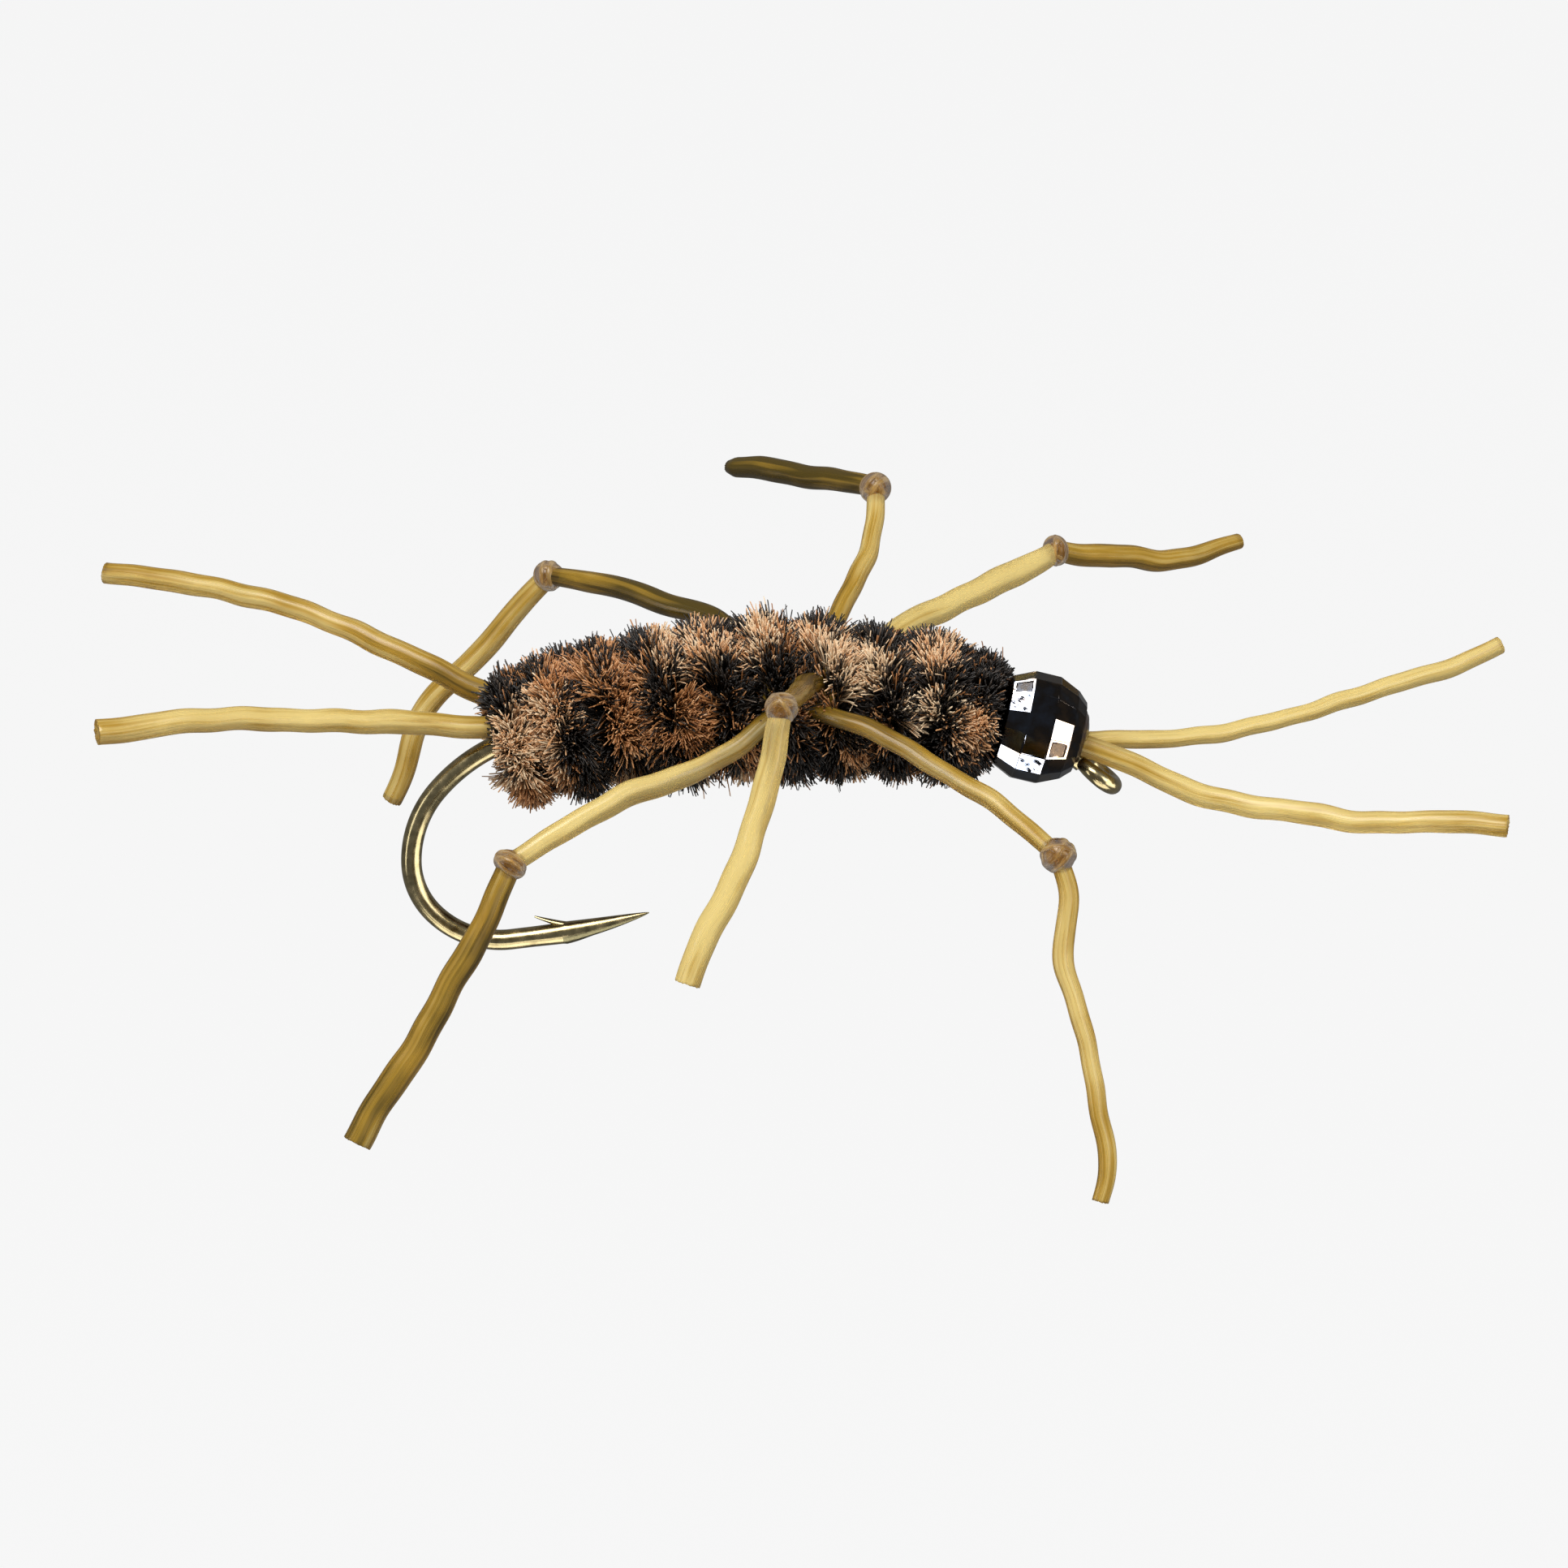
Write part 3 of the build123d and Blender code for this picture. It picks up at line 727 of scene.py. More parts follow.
def floss_tube(name, points, widths, shades, seed, kinks=KINKS):
    """A strand of fused filaments. widths and shades are tables over its length from 0 to 1."""
    rng = np.random.default_rng(seed)
    flat = 0.86 ** 0.5  # the strand is a little wider than it is thick
    rows, columns = max(50, int(distance_along(np.array(points, float))[-1] * 9)), 60
    path = spline(points, rows)
    run = distance_along(path)
    s = run / run[-1]
    tangent, side, across = frames_along(path, (0.1, -0.9, 0.4))
    # it swells, thins and kinks a little along its run, but not at its ends
    uneven = kinks * np.sin(np.pi * s) ** 0.5
    beats = rng.uniform(0, 6.28, 4)
    swelling = 0.022 * np.sin(run * 2.3 + beats[0]) + 0.026 * np.sin(run * 1.25 + beats[1])
    kink = 0.030 * np.sin(run * 1.9 + beats[2]) + 0.026 * np.sin(run * 3.1 + beats[3])
    path = path + across * (kink * uneven)[:, None]
    radius = interp(widths, s) * (1 + swelling * uneven)
    shade = interp(shades, s)
    angles = np.linspace(0, 2 * math.pi, columns, endpoint=False)
    # the filaments' ribs: count, weight, phase, drift and beat of each wave round the strand
    lobes = [(k, rng.uniform(0.3, 1.0), rng.uniform(0, 6.28), rng.uniform(-0.25, 0.25), rng.uniform(0.5, 1.6))
             for k in (3, 5, 7, 11, 14, 19, 25)]
    twist0, twist1 = rng.uniform(0, 3), rng.uniform(-0.08, 0.08)
    verts, strand, tones = [], [], []
    for i in range(rows):
        ripple = np.zeros(columns)
        for k, weight, phase, drift, beat in lobes:
            swell = 0.6 + 0.4 * math.sin(run[i] * beat * 0.7 + phase * 3)
            ripple += weight * swell * np.cos(k * (angles + phase) + drift * run[i] * k * 0.15) / (k ** 0.45)
        r = radius[i] * (1 + 0.020 * ripple)
        u, w = r * np.cos(angles) / flat, r * np.sin(angles) * flat
        spin = twist0 + twist1 * run[i]
        c, d = math.cos(spin), math.sin(spin)
        verts.append(path[i] + (u * c - w * d)[:, None] * side[i] + (u * d + w * c)[:, None] * across[i])
        strand.append(np.stack([np.cos(angles) * 0.5, np.sin(angles) * 0.5, np.full(columns, run[i])], -1))
        tones.append(np.full(columns, shade[i]))
    faces = grid_faces(rows, columns)

    def cap(row, way):
        """A cut end: a slightly hollow face with ragged filaments, square to the strand."""
        edge, last = verts[row], row * columns
        centre = edge.mean(0)
        for k, (share, depth) in enumerate([(0.97, 0.02), (0.7, 0.0), (0.35, -0.02)]):
            ragged = rng.normal(0, 0.012, columns)
            here = sum(len(v) for v in verts)
            verts.append(centre + (edge - centre) * share + way * (depth + ragged)[:, None])
            strand.append(np.stack([np.cos(angles) * share, np.sin(angles) * share,
                                    np.full(columns, run[row] + 0.1 * k)], -1))
            tones.append(np.full(columns, shade[row] - 0.05))
            for j in range(columns):
                q = (j + 1) % columns
                faces.append((last + j, last + q, here + q, here + j))
            last = here
        tip = sum(len(v) for v in verts)
        verts.append(centre[None] - way * 0.03)
        strand.append(np.array([[0, 0, run[row]]]))
        tones.append(np.array([shade[row]]))
        faces.extend((last + j, last + (j + 1) % columns, tip) for j in range(columns))

    cap(0, -tangent[0])
    cap(rows - 1, tangent[-1])
    obj = piece(name, np.concatenate(verts), faces, floss, True,
                {"strand": np.concatenate(strand), "shade": np.concatenate(tones)})
    obj.data.validate()
    crease(obj, 50)
    return obj, tangent


def on_joint(obj, at, way):
    """Bakes the strand's placement into its mesh."""
    at, way = np.array(at, float), unit(np.array(way, float))
    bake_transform(obj)


def make_knot(name, centre, toward_upper, toward_lower, size, seed, squash):
    """An overhand knot pulled tight: two wraps and the strand that crosses them, nearly a ball."""
    rng = np.random.default_rng(seed)
    up, down = unit(np.array(toward_upper, float)), unit(np.array(toward_lower, float))
    axis = unit(up - down)
    third = unit(np.cross(up, down))
    flank = np.cross(axis, third)
    tilt = rng.uniform(-0.3, 0.3)
    # each turn of the strand: the axis it goes round, how far along it, half its width and its height
    wraps = [(unit(around), offset, half, high) for around, offset, half, high in (
        (axis + 0.45 * third + tilt * flank, 0.30, 0.20, 1.0),
        (axis + 0.45 * third + tilt * flank, -0.30, 0.20, 0.96),
        (axis - 0.9 * third + 0.3 * flank, 0.02, 0.17, 1.10),
        (flank + 0.5 * axis, 0.62, 0.18, 0.8),
        (-flank + 0.5 * axis, 0.66, 0.18, 0.8))]
    rows, columns = 56, 96
    rings, strand, tones = [], [], []
    for i in range(rows):
        polar, ring = math.pi * (i + 0.5) / rows, []
        for j in range(columns):
            t = 2 * math.pi * j / columns
            d = axis * math.cos(polar) + (third * math.cos(t) + flank * math.sin(t)) * math.sin(polar)
            height, which = 0.0, 0
            for k, (around, offset, half, high) in enumerate(wraps):
                x = (d @ around - offset) / half
                bump = high * math.sqrt(max(0.0, 1 - x * x))
                if bump > height:
                    height, which = bump, k
            # the knot draws out a little where the strand leaves it
            neck = max(max(0.0, (d @ w - 0.72) / 0.28) ** 2 for w in (up, down))
            p = d * size * (0.95 + 0.06 * height + 0.06 * neck)
            ring.append(centre + p - axis * (p @ axis) * (1 - squash))
            strand.append((d @ wraps[which][0] * 0.8, which * 2.0 + 0.4 * (d @ third), 1.5 * (d @ flank)))
            # painted shade: the knot's colour darkens in the grooves between its wraps and lightens on their
            # crests
            tones.append(0.12 * (height - 0.6))
        rings.append(ring)
    verts, faces = [], []
    add_tube(verts, faces, rings)
    return piece(name, verts, faces, knot_floss, True, {"strand": np.array(strand), "shade": np.array(tones)})


# Each leg's upper run, then the lower run from where the upper one ends: the centre line, and tables of
# radius (_w) and shade (_s) over its length. knot is the knot's radius.
LEGS = {
    "right_front": dict(
        upper=[(-11.5, -2.5, 3.1), (-10.9, -3.1, 3.02), (-8.63, -4.2, 2.37), (-6.84, -5.1, 1.4),
               (-5.06, -6, 0.54), (-3.26, -6.9, -0.64), (-1.93, -7.6, -1.7)],
        upper_w=[(0, 0.38), (0.3, 0.41), (0.7, 0.41), (1, 0.37)],
        upper_s=[(0, -0.12), (0.5, -0.03), (1, 0.02)],
        lower=[(-1.48, -7.9, -3.33), (-1.7, -8.2, -5.14), (-1.32, -8.6, -7.14), (-0.71, -9, -9.15),
               (-0.38, -9.3, -11.19), (0.04, -9.8, -14), (-0.22, -10, -15.13)],
        lower_w=[(0, 0.38), (0.3, 0.43), (0.55, 0.38), (0.8, 0.4), (1, 0.36)],
        lower_s=[(0, 0), (0.35, 0.05), (0.6, 0.02), (1, -0.03)], knot=0.73, squash=0.97),
    "right_middle": dict(
        upper=[(-11.3, -1.6, 4.1), (-11.7, -3, 4.3), (-12, -5.5, 4.5), (-12.4, -8.5, 4.72),
               (-12.79, -11, 4.94)],
        upper_w=[(0, 0.44), (0.4, 0.42), (1, 0.38)], upper_s=[(0, -0.14), (0.5, -0.1), (1, -0.04)],
        lower=[(-13.11, -11.3, 3.21), (-13.48, -11.7, 1.57), (-14.02, -12, -0.07),
               (-14.64, -12.3, -1.74), (-15.55, -12.6, -3.37), (-16.43, -13, -5.56)],
        lower_w=[(0, 0.44), (0.15, 0.5), (0.5, 0.55), (0.85, 0.58), (1, 0.55)],
        lower_s=[(0, 0.12), (0.3, 0.17), (0.8, 0.15), (1, 0.1)], knot=0.66, squash=0.95),
    "right_rear": dict(
        upper=[(-12.9, -2.5, 3.1), (-13.6, -3.1, 2.55), (-15.03, -3.8, 1.56), (-16.93, -4.6, 0.8),
               (-19.2, -5.6, 0.16), (-20.53, -6.2, -0.47), (-22, -6.8, -1.24), (-23.51, -7.4, -2.1)],
        upper_w=[(0, 0.4), (0.25, 0.44), (0.55, 0.52), (0.8, 0.44), (1, 0.4)],
        upper_s=[(0, -0.05), (0.35, 0.08), (0.7, 0.18), (1, 0.12)],
        lower=[(-24.15, -7.8, -3.62), (-24.98, -8.2, -5.27), (-26.22, -8.7, -7.35),
               (-27.11, -9.1, -9.03), (-28.29, -9.5, -10.67), (-29.5, -10, -12.75)],
        lower_w=[(0, 0.45), (0.3, 0.52), (0.7, 0.57), (1, 0.58)],
        lower_s=[(0, -0.08), (0.4, -0.14), (1, -0.1)], knot=0.7, squash=0.8),
    "left_front": dict(
        upper=[(-9.4, 2, 4.6), (-8.7, 2.5, 4.9), (-7.89, 3.2, 5.39), (-5.83, 4.9, 6.05),
               (-3.68, 6.6, 6.83), (-2.57, 7.5, 7.15), (-1.39, 8.4, 7.71)],
        upper_w=[(0, 0.46), (0.5, 0.52), (0.8, 0.54), (1, 0.44)], upper_s=[(0, 0.08), (0.5, 0.2), (1, 0.15)],
        lower=[(0.2, 9.2, 7.33), (1.98, 10.1, 7.14), (3, 10.6, 6.88), (4.13, 11.2, 6.88),
               (5.78, 12, 7.26), (6.49, 12.4, 7.4)],
        lower_w=[(0, 0.46), (0.3, 0.54), (0.6, 0.48), (0.8, 0.44), (1, 0.36)],
        lower_s=[(0, -0.04), (0.3, -0.09), (1, -0.06)], knot=0.66, squash=0.74),
    "left_middle": dict(
        upper=[(-10.95, 2, 5), (-10.78, 2.6, 5.36), (-10.44, 3.6, 5.99), (-9.73, 5.2, 7.05),
               (-9.35, 6.2, 7.72), (-8.93, 8, 9.08), (-8.88, 9.2, 10.21)],
        upper_w=[(0, 0.4), (0.5, 0.39), (1, 0.34)], upper_s=[(0, -0.06), (0.5, 0), (1, 0.04)],
        lower=[(-9.99, 10.2, 10.32), (-11.1, 11.2, 10.27), (-12.26, 12.2, 10.31),
               (-13.39, 13.1, 10.38), (-15.01, 14.4, 10.27)],
        lower_w=[(0, 0.44), (0.3, 0.52), (0.8, 0.52), (0.95, 0.46), (1, 0.3)],
        lower_s=[(0, -0.14), (0.5, -0.22), (0.85, -0.24), (1, -0.32)], knot=0.67, squash=0.95),
    "left_rear": dict(
        upper=[(-14, 2.2, 4.6), (-14.8, 2.7, 5.15), (-15.32, 3.3, 5.6), (-17.16, 4.6, 6.01),
               (-19.03, 6, 6.43), (-20.6, 7.2, 6.56), (-22.5, 8.6, 6.61)],
        upper_w=[(0, 0.44), (0.5, 0.5), (0.8, 0.48), (1, 0.4)], upper_s=[(0, -0.2), (0.5, -0.2), (1, -0.12)],
        lower=[(-23.9, 9.2, 5.03), (-25.72, 9.9, 2.79), (-27.44, 10.4, 1.09), (-28.41, 10.8, -0.77),
               (-28.71, 11, -2.04), (-29.32, 11.2, -3.49)],
        lower_w=[(0, 0.44), (0.3, 0.5), (0.8, 0.5), (1, 0.46)], lower_s=[(0, 0.02), (0.5, 0), (1, -0.03)],
        knot=0.66, squash=0.95, kinks=0.2),
}
# The tails and antennae in the same way
SINGLES = {
    "left_tail": dict(
        points=[(-23.42, 0.6, 2.73), (-24.38, 0.7, 2.98), (-25.93, 0.9, 3.64), (-27.08, 1.1, 4.2),
                (-29.48, 1.7, 5.2), (-31.85, 2.4, 6.11), (-34.29, 3.2, 6.67), (-36.33, 3.9, 6.98),
                (-38.56, 4.6, 7.22), (-40.58, 5.2, 7.32)],
        widths=[(0, 0.46), (0.2, 0.47), (0.5, 0.42), (0.8, 0.44), (1, 0.42)],
        shades=[(0, -0.1), (0.3, -0.04), (0.7, 0.02), (1, 0)]),
    "right_tail": dict(
        points=[(-23.38, -0.6, 1.96), (-24.68, -0.75, 2.02), (-26.99, -0.9, 2.23),
                (-29.31, -1.4, 2.43), (-31.59, -1.9, 2.56), (-33.88, -2.5, 2.75), (-35.69, -3, 2.82),
                (-37.27, -3.4, 2.76), (-38.41, -3.7, 2.63), (-40, -4.2, 2.56)],
        widths=[(0, 0.48), (0.3, 0.52), (0.6, 0.49), (1, 0.52)],
        shades=[(0, 0), (0.4, 0.09), (0.8, 0.08), (1, 0.03)]),
    "left_antenna": dict(
        points=[(-1.3, 0.48, 1.5), (-0.46, 0.54, 1.26), (0.8, 0.7, 1.26), (2.1, 0.92, 1.22),
                (4.65, 1.55, 1.29), (7.25, 2.3, 1.68), (9.82, 3.1, 2.26), (12.44, 3.9, 2.95),
                (15.05, 4.7, 3.58), (16.8, 5.3, 4.28)],
        widths=[(0, 0.4), (0.2, 0.4), (0.5, 0.38), (0.8, 0.4), (1, 0.37)],
        shades=[(0, 0), (0.3, 0.12), (0.7, 0.16), (1, 0.1)]),
    "right_antenna": dict(
        points=[(-1.3, -0.48, 1.5), (-0.5, -0.54, 1.22), (0.45, -0.68, 0.92), (1.39, -0.85, 0.54),
                (3.25, -1.2, -0.29), (5.48, -1.6, -0.9), (7.92, -2.2, -1.11), (10.64, -2.9, -1.39),
                (13.65, -3.6, -1.2), (16.15, -4.2, -1.27)],
        widths=[(0, 0.42), (0.2, 0.44), (0.5, 0.43), (0.8, 0.42), (1, 0.44)],
        shades=[(0, 0), (0.2, 0.09), (0.6, 0.08), (1, 0.05)]),
}
joint_at = {j["name"]: np.array(j["pos_m"]) / MM for j in frame["joints"]}

for number, (name, leg) in enumerate(LEGS.items()):
    upper_body, lower_body = f"{name}_leg_upper_part", f"{name}_leg_lower_part"
    pivot, knee = joint_at[f"{name}_leg_swing"], joint_at[f"{name}_leg_knee"]
    kinks = leg.get("kinks", KINKS)
    upper, tangent_u = floss_tube(
        f"{name}_leg_upper_floss", leg["upper"], leg["upper_w"], leg["upper_s"], 20 + number, kinks)
    on_joint(upper, pivot, tangent_u[8])
    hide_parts(f"{name}_leg_upper")
    lower, tangent_l = floss_tube(
        f"{name}_leg_lower_floss", leg["upper"][-1:] + leg["lower"], leg["lower_w"], leg["lower_s"], 40 + number,
        kinks)
    on_joint(lower, knee, tangent_l[4])
    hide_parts(f"{name}_leg_lower")
    knot = make_knot(
        f"{name}_leg_overhand_knot", knee, -tangent_u[-1], tangent_l[3], leg["knot"], 60 + number, leg["squash"])
    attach(knot, upper_body)
    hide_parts(f"{name}_leg_knot")

# the middle of each leg strand lies across the shank, under the chenille: its x and its height there
TIES = {"front": (-9.9, 1.15), "middle": (-11.2, 1.2), "rear": (-14.1, 1.15)}
for number, (pair, (x, high)) in enumerate(TIES.items()):
    left, right = (np.array(LEGS[f"{side}_{pair}"]["upper"][0]) for side in ("left", "right"))
    over, up, forward = (v[0] for v in shank_at(np.array([x])))
    top = over + up * high
    points = [left, (left + top) / 2 + up * 0.2, top, (right + top) / 2 + up * 0.2, right]
    obj, tangent = floss_tube(
        f"{pair}_leg_tie_floss", points, [(0, 0.4), (0.5, 0.34), (1, 0.4)], [(0, -0.1), (1, -0.1)], 95 + number)
    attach(obj, ROOT)
    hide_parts(f"{pair}_leg_strand")

for number, (name, strand) in enumerate(SINGLES.items()):
    obj, tangent = floss_tube(f"{name}_floss", strand["points"], strand["widths"], strand["shades"], 80 + number)
    on_joint(obj, joint_at[f"{name}_sway"], tangent[10])
    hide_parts(name)

# ---- chenille
TURNS, REAR_X, FRONT_X, ROOT_R = 9, -24.3, -4.75, 1.35
REAR_END = -1  # stands for the part turn that closes the pile at the tail
PITCH = (FRONT_X - REAR_X) / TURNS
# how far the pile reaches from the shank's line, over x
TIP_R = [(-26, 2.5), (-24.4, 2.75), (-23.4, 2.95), (-21.4, 3.15), (-18.2, 3.4), (-14.9, 3.55), (-13.2, 3.65),
         (-11.6, 3.5), (-9.9, 3.3), (-8.3, 3.2), (-6.6, 3.3), (-5.2, 2.9), (-4.0, 2.3)]
# Copper-brown tufts on the near side: x, height above the shank's line as the eye sees it, half the
# length, half the height, tone
TUFTS = [
    (-23.5, -0.9, 1.7, 1.9, 0.85), (-22, 0.6, 0.8, 1.35, 0.75), (-21, 2, 0.7, 1.2, 0.5),
    (-23.1, 2.5, 0.8, 0.45, 0.45), (-22.6, -2.8, 1.3, 0.5, 0.6), (-18.05, 1.45, 0.85, 1.25, 0.5),
    (-19.2, -0.9, 1, 1.25, 0.5), (-16.7, 2.4, 0.8, 1.1, 0.85), (-14.8, 2.4, 0.38, 0.9, 0.75),
    (-13.9, 1.35, 0.7, 0.7, 0.8), (-15.7, -0.55, 0.9, 0.85, 0.4), (-16.8, -1.8, 0.8, 0.65, 0.35),
    (-14.2, -2.75, 0.7, 0.9, 0.6), (-13.3, 3.05, 0.85, 1, 0.9), (-11.65, 3.05, 0.4, 0.7, 0.8),
    (-10.95, 1.35, 0.85, 1.25, 0.85), (-12.65, 1.85, 0.7, 0.45, 0.35), (-11.3, -1.2, 0.75, 1.1, 0.55),
    (-11.3, -3.3, 0.55, 0.4, 0.4), (-8.95, 1, 1, 1.5, 0.95), (-6.9, 1.85, 0.85, 1.3, 0.8),
    (-6.25, -0.8, 1, 0.9, 1), (-4.7, -1.2, 0.85, 1, 0.7), (-8.9, -2.55, 0.8, 0.5, 0.6),
]


def tuft_tone(x, turn_angle, radius, rng):
    """The tone at this place and the number of its tuft. A tone under 0 means black pile."""
    angle = turn_angle % (2 * math.pi)
    near = angle < math.radians(168) or angle > math.radians(348)
    if near:
        height, place = radius * math.cos(angle + ELEVATION), x
    else:
        # the far side has the same pattern, moved along
        height, place = radius * math.cos(-angle + 2.4), x + 3.2 if x < -8 else x - 14.0
    for index, (tx, th, hx, hh, tone) in enumerate(TUFTS):
        dx, dh = (place - tx) / hx, (height - th) / hh
        if dx * dx + dh * dh < 1 + rng.normal(0, 0.12):
            return tone, index
    return -1.0, int((place + 40) / 1.3) + 7 * int(turn_angle / 0.9)


# how much one fibre differs from its clump: fan, lean, bend, and its length
TIDY, STRAY = (0.13, 0.10, 0.12, 1.0), (0.4, 0.4, 0.3, 1.04)
STRAYS, MIXED_IN = 0.035, 0.07  # the shares of stray fibres, and of fibres of the other colour


def grow_pile():
    """Every fibre as a row of numbers, in groups by turn and colour."""
    rng = np.random.default_rng(5)
    clumps, per_clump, tufts = 430, 14, 400
    # each tuft leans and sweeps its own way, most of them up and back
    leans = np.random.default_rng(31).normal(0, 0.30, tufts)
    sweeps = np.random.default_rng(32).normal(-0.15, 0.28, tufts)
    groups = {}
    for turn in [*range(TURNS + 1), REAR_END]:
        last = turn == TURNS  # a part turn that closes the pile behind the bead
        for _ in range(clumps if 0 <= turn < TURNS else clumps // 2):
            theta = rng.uniform(0, 2 * math.pi)
            fan = math.radians(rng.uniform(-15, 62) if last else rng.uniform(-80, 80))
            x = -4.95 + rng.uniform(-0.5, 0.15) if last else REAR_X + (turn + theta / (2 * math.pi)) * PITCH
            reach = rng.uniform(0.88, 1.07) * (0.85 if last else 1.0)
            if turn == REAR_END:
                # on the far side, where the first turn starts further forward
                theta = math.radians(rng.uniform(188, 368))
                fan = math.radians(rng.uniform(-78, 12))
                x = REAR_X + rng.uniform(0.1, 1.1) + 0.5 * max(0.0, math.cos(theta))
                reach *= 0.74
            tone, which = tuft_tone(x + 1.6 * math.sin(fan), theta, ROOT_R + 1.3 * math.cos(fan) + 0.5, rng)
            lean = -0.42 * math.sin(theta) + leans[which % tufts] + rng.normal(0, 0.10)
            if not last:
                fan = min(1.45, max(-1.45, fan * 0.9 + sweeps[which % tufts]))
            kind = "tan" if tone > 0 else "black"
            if turn == 0:
                # the first turn is wound on a slant, and its pile is trimmed short where the hook leaves it
                x += 0.95 * max(0.0, math.cos(theta))
                reach *= 0.60 if fan < -0.5 else 1.0
            bend = rng.normal(0, 0.16, 2)
            for _ in range(per_clump + int(rng.integers(-3, 4))):
                fan_off, lean_off, bend_off, longer = STRAY if rng.random() < STRAYS else TIDY
                mine = kind if rng.random() > MIXED_IN else ("black" if kind == "tan" else "tan")
                if mine == "tan":
                    value = (tone if tone > 0 else 0.35) + rng.normal(0, 0.13)
                else:
                    value = rng.beta(1.4, 2.3)
                groups.setdefault((turn, mine), []).append((
                    x + rng.normal(0, 0.10), theta + rng.normal(0, 0.065),
                    fan + rng.normal(0, fan_off), lean + rng.normal(0, lean_off),
                    reach * rng.uniform(0.86, 1.04) * longer,
                    bend[0] + rng.normal(0, bend_off), bend[1] + rng.normal(0, bend_off),
                    value, rng.uniform(0.028, 0.044), rng.uniform(0, 0.55)))
    return groups


def fibre_mesh(rows):
    """Points, faces and attributes of the fibres, each a thin bent rod of three sides and five rings."""
    sides, rings = 3, 5
    x, theta, fan, lean, reach, b1, b2, tone, thick, lift = np.array(rows).T
    n = len(x)
    centre, up, forward = shank_at(x)
    near = np.array([0.0, -1.0, 0.0])
    radial = up * np.cos(theta)[:, None] + near * np.sin(theta)[:, None]
    around = -up * np.sin(theta)[:, None] + near * np.cos(theta)[:, None]
    way = (radial * (np.cos(fan) * np.cos(lean))[:, None] + forward * (np.sin(fan) * np.cos(lean))[:, None]
           + around * np.sin(lean)[:, None])
    # lift starts some of the fibres further out, so that the roots don't crowd
    length = (interp(TIP_R, x) - ROOT_R) * reach * (1 - 0.10 * (fan / 1.4) ** 2)
    root = centre + radial * (ROOT_R + 0.1 * np.cos(7 * theta))[:, None] + way * (length * lift)[:, None] * 0.8
    length = length * (1 - 0.8 * lift)
    e1 = np.cross(way, near + 0.3 * up)
    e1 /= np.linalg.norm(e1, axis=1)[:, None]
    e2 = np.cross(way, e1)
    verts, along = np.zeros((n, rings, sides, 3)), np.zeros((n, rings, sides))
    for k in range(rings):
        t = k / (rings - 1)
        bent = (e1 * b1[:, None] + e2 * b2[:, None]) * (length * t ** 2)[:, None]
        mid = root + way * (length * t)[:, None] + bent
        r = thick * (1.0 if k < rings - 1 else 0.8)
        for j in range(sides):
            g = 2 * math.pi * j / sides
            verts[:, k, j] = mid + (e1 * math.cos(g) + e2 * math.sin(g)) * r[:, None]
        along[:, k] = t
    # no fibre reaches through the bead
    verts = verts.reshape(-1, 3)
    from_bead = verts - bead_centre
    distance = np.linalg.norm(from_bead, axis=1)
    inside = distance < BEAD_R + 0.05
    verts[inside] = bead_centre + from_bead[inside] * ((BEAD_R + 0.06) / distance[inside])[:, None]
    first = (np.arange(n) * rings * sides)[:, None]
    quads = [first + np.array([quad]) for quad in grid_faces(rings, sides)]
    tip = (rings - 1) * sides
    faces = np.concatenate(quads).tolist() + (first + np.array([[tip, tip + 1, tip + 2]])).tolist()
    return verts, faces, {"tone": np.repeat(np.clip(tone, 0, 1), rings * sides), "along": along.reshape(-1)}


for (turn, kind), rows in grow_pile().items():
    verts, faces, attributes = fibre_mesh(rows)
    where = {TURNS: "front_end", REAR_END: "rear_end"}.get(turn, f"turn_{turn + 1}")
    material = tan_fibre if kind == "tan" else black_fibre
    obj = piece(f"chenille_{where}_{kind}", verts, faces, material, True, attributes)
    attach(obj, ROOT)
    if turn == 0 and kind == "black":
        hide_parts("chenille_pile")


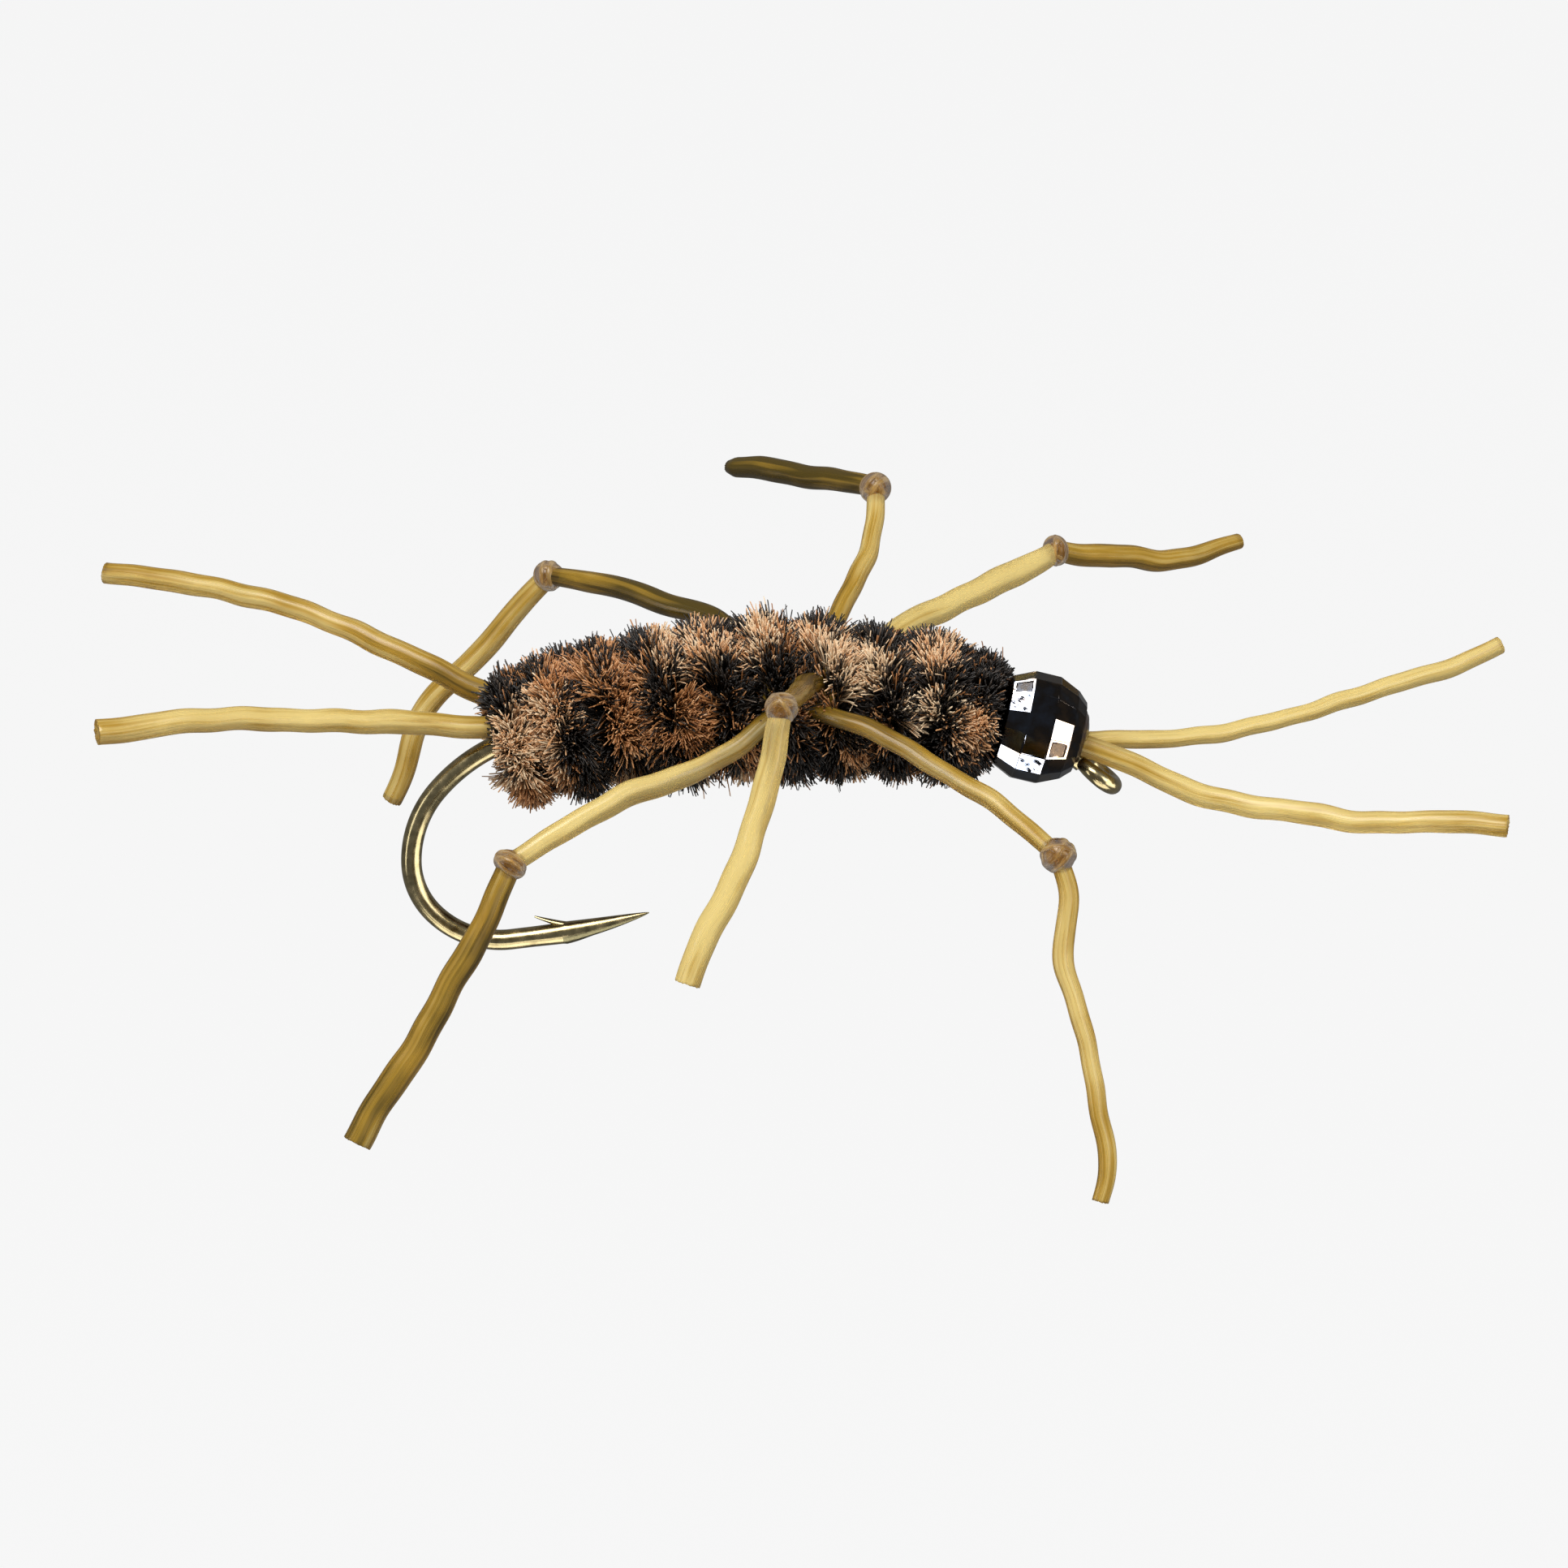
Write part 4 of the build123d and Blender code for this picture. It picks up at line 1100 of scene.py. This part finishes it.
def make_felt():
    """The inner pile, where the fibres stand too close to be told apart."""
    rows, columns = 260, 72
    start, end = REAR_X + 0.35, FRONT_X + 0.35
    verts, tone = [], []
    for i in range(rows):
        s = i / (rows - 1)
        x = start + (end - start) * s
        c, up, forward = (v[0] for v in shank_at(np.array([x])))
        taper = max(min(1.0, min(s, 1 - s) * 22) ** 0.5, 0.36)
        for j in range(columns):
            t = 2 * math.pi * j / columns
            # it swells along each turn of the strand, and is lumpy
            phase = ((x - REAR_X) / PITCH - t / (2 * math.pi)) % 1
            r = (1.5 + 0.3 * math.sin(math.pi * phase) + 0.05 * math.sin(13 * t + 9 * x)) * taper
            verts.append(c + (up * math.cos(t) + np.array([0, -1.0, 0]) * math.sin(t)) * r)
            tone.append(0.4 + 0.3 * math.sin(5 * t + 2 * x))
    # The felt stands for the dense inner pile, but its darkness is painted shade: it takes the black pile's
    # colour all round, also under the copper-brown tufts, and its along of 0.22 darkens it the way the fibres
    # are darkened near their roots.
    obj = piece("chenille_inner_felt", verts, grid_faces(rows, columns), black_fibre, True,
                {"tone": tone, "along": [0.22] * len(verts)})
    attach(obj, ROOT)


make_felt()

# ---- CAD nodes that stay
for node, material in {
    "thread_base": body_thread, "thread_collar": body_thread, "weight_wire": lead, "chenille_core": body_thread,
    "tail_strand": floss, "antenna_strand": floss,
}.items():
    obj = frame["nodes"][node]
    obj.data.materials.clear()
    obj.data.materials.append(material)

# the faceted bead mirrors only its own small cards; the room's lamps light everything else, and the hook
# and the pile have a few lamps of their own besides
for name, lamps, chosen in (
    ("lit_by_room", room_lamps, lambda o: o.name != "bead_faceted"),
    ("lit_by_cards", bead_lamps, lambda o: o.name == "bead_faceted"),
    ("lit_by_strips", hook_lamps, lambda o: o.name == "hook_wire"),
    ("lit_by_rim", pile_lamps, lambda o: o.name.startswith("chenille")),
):
    group = bpy.data.collections.new(name)
    for o in bpy.context.scene.objects:
        if o.type == "MESH" and chosen(o):
            group.objects.link(o)
    for lamp in lamps:
        lamp.light_linking.receiver_collection = group
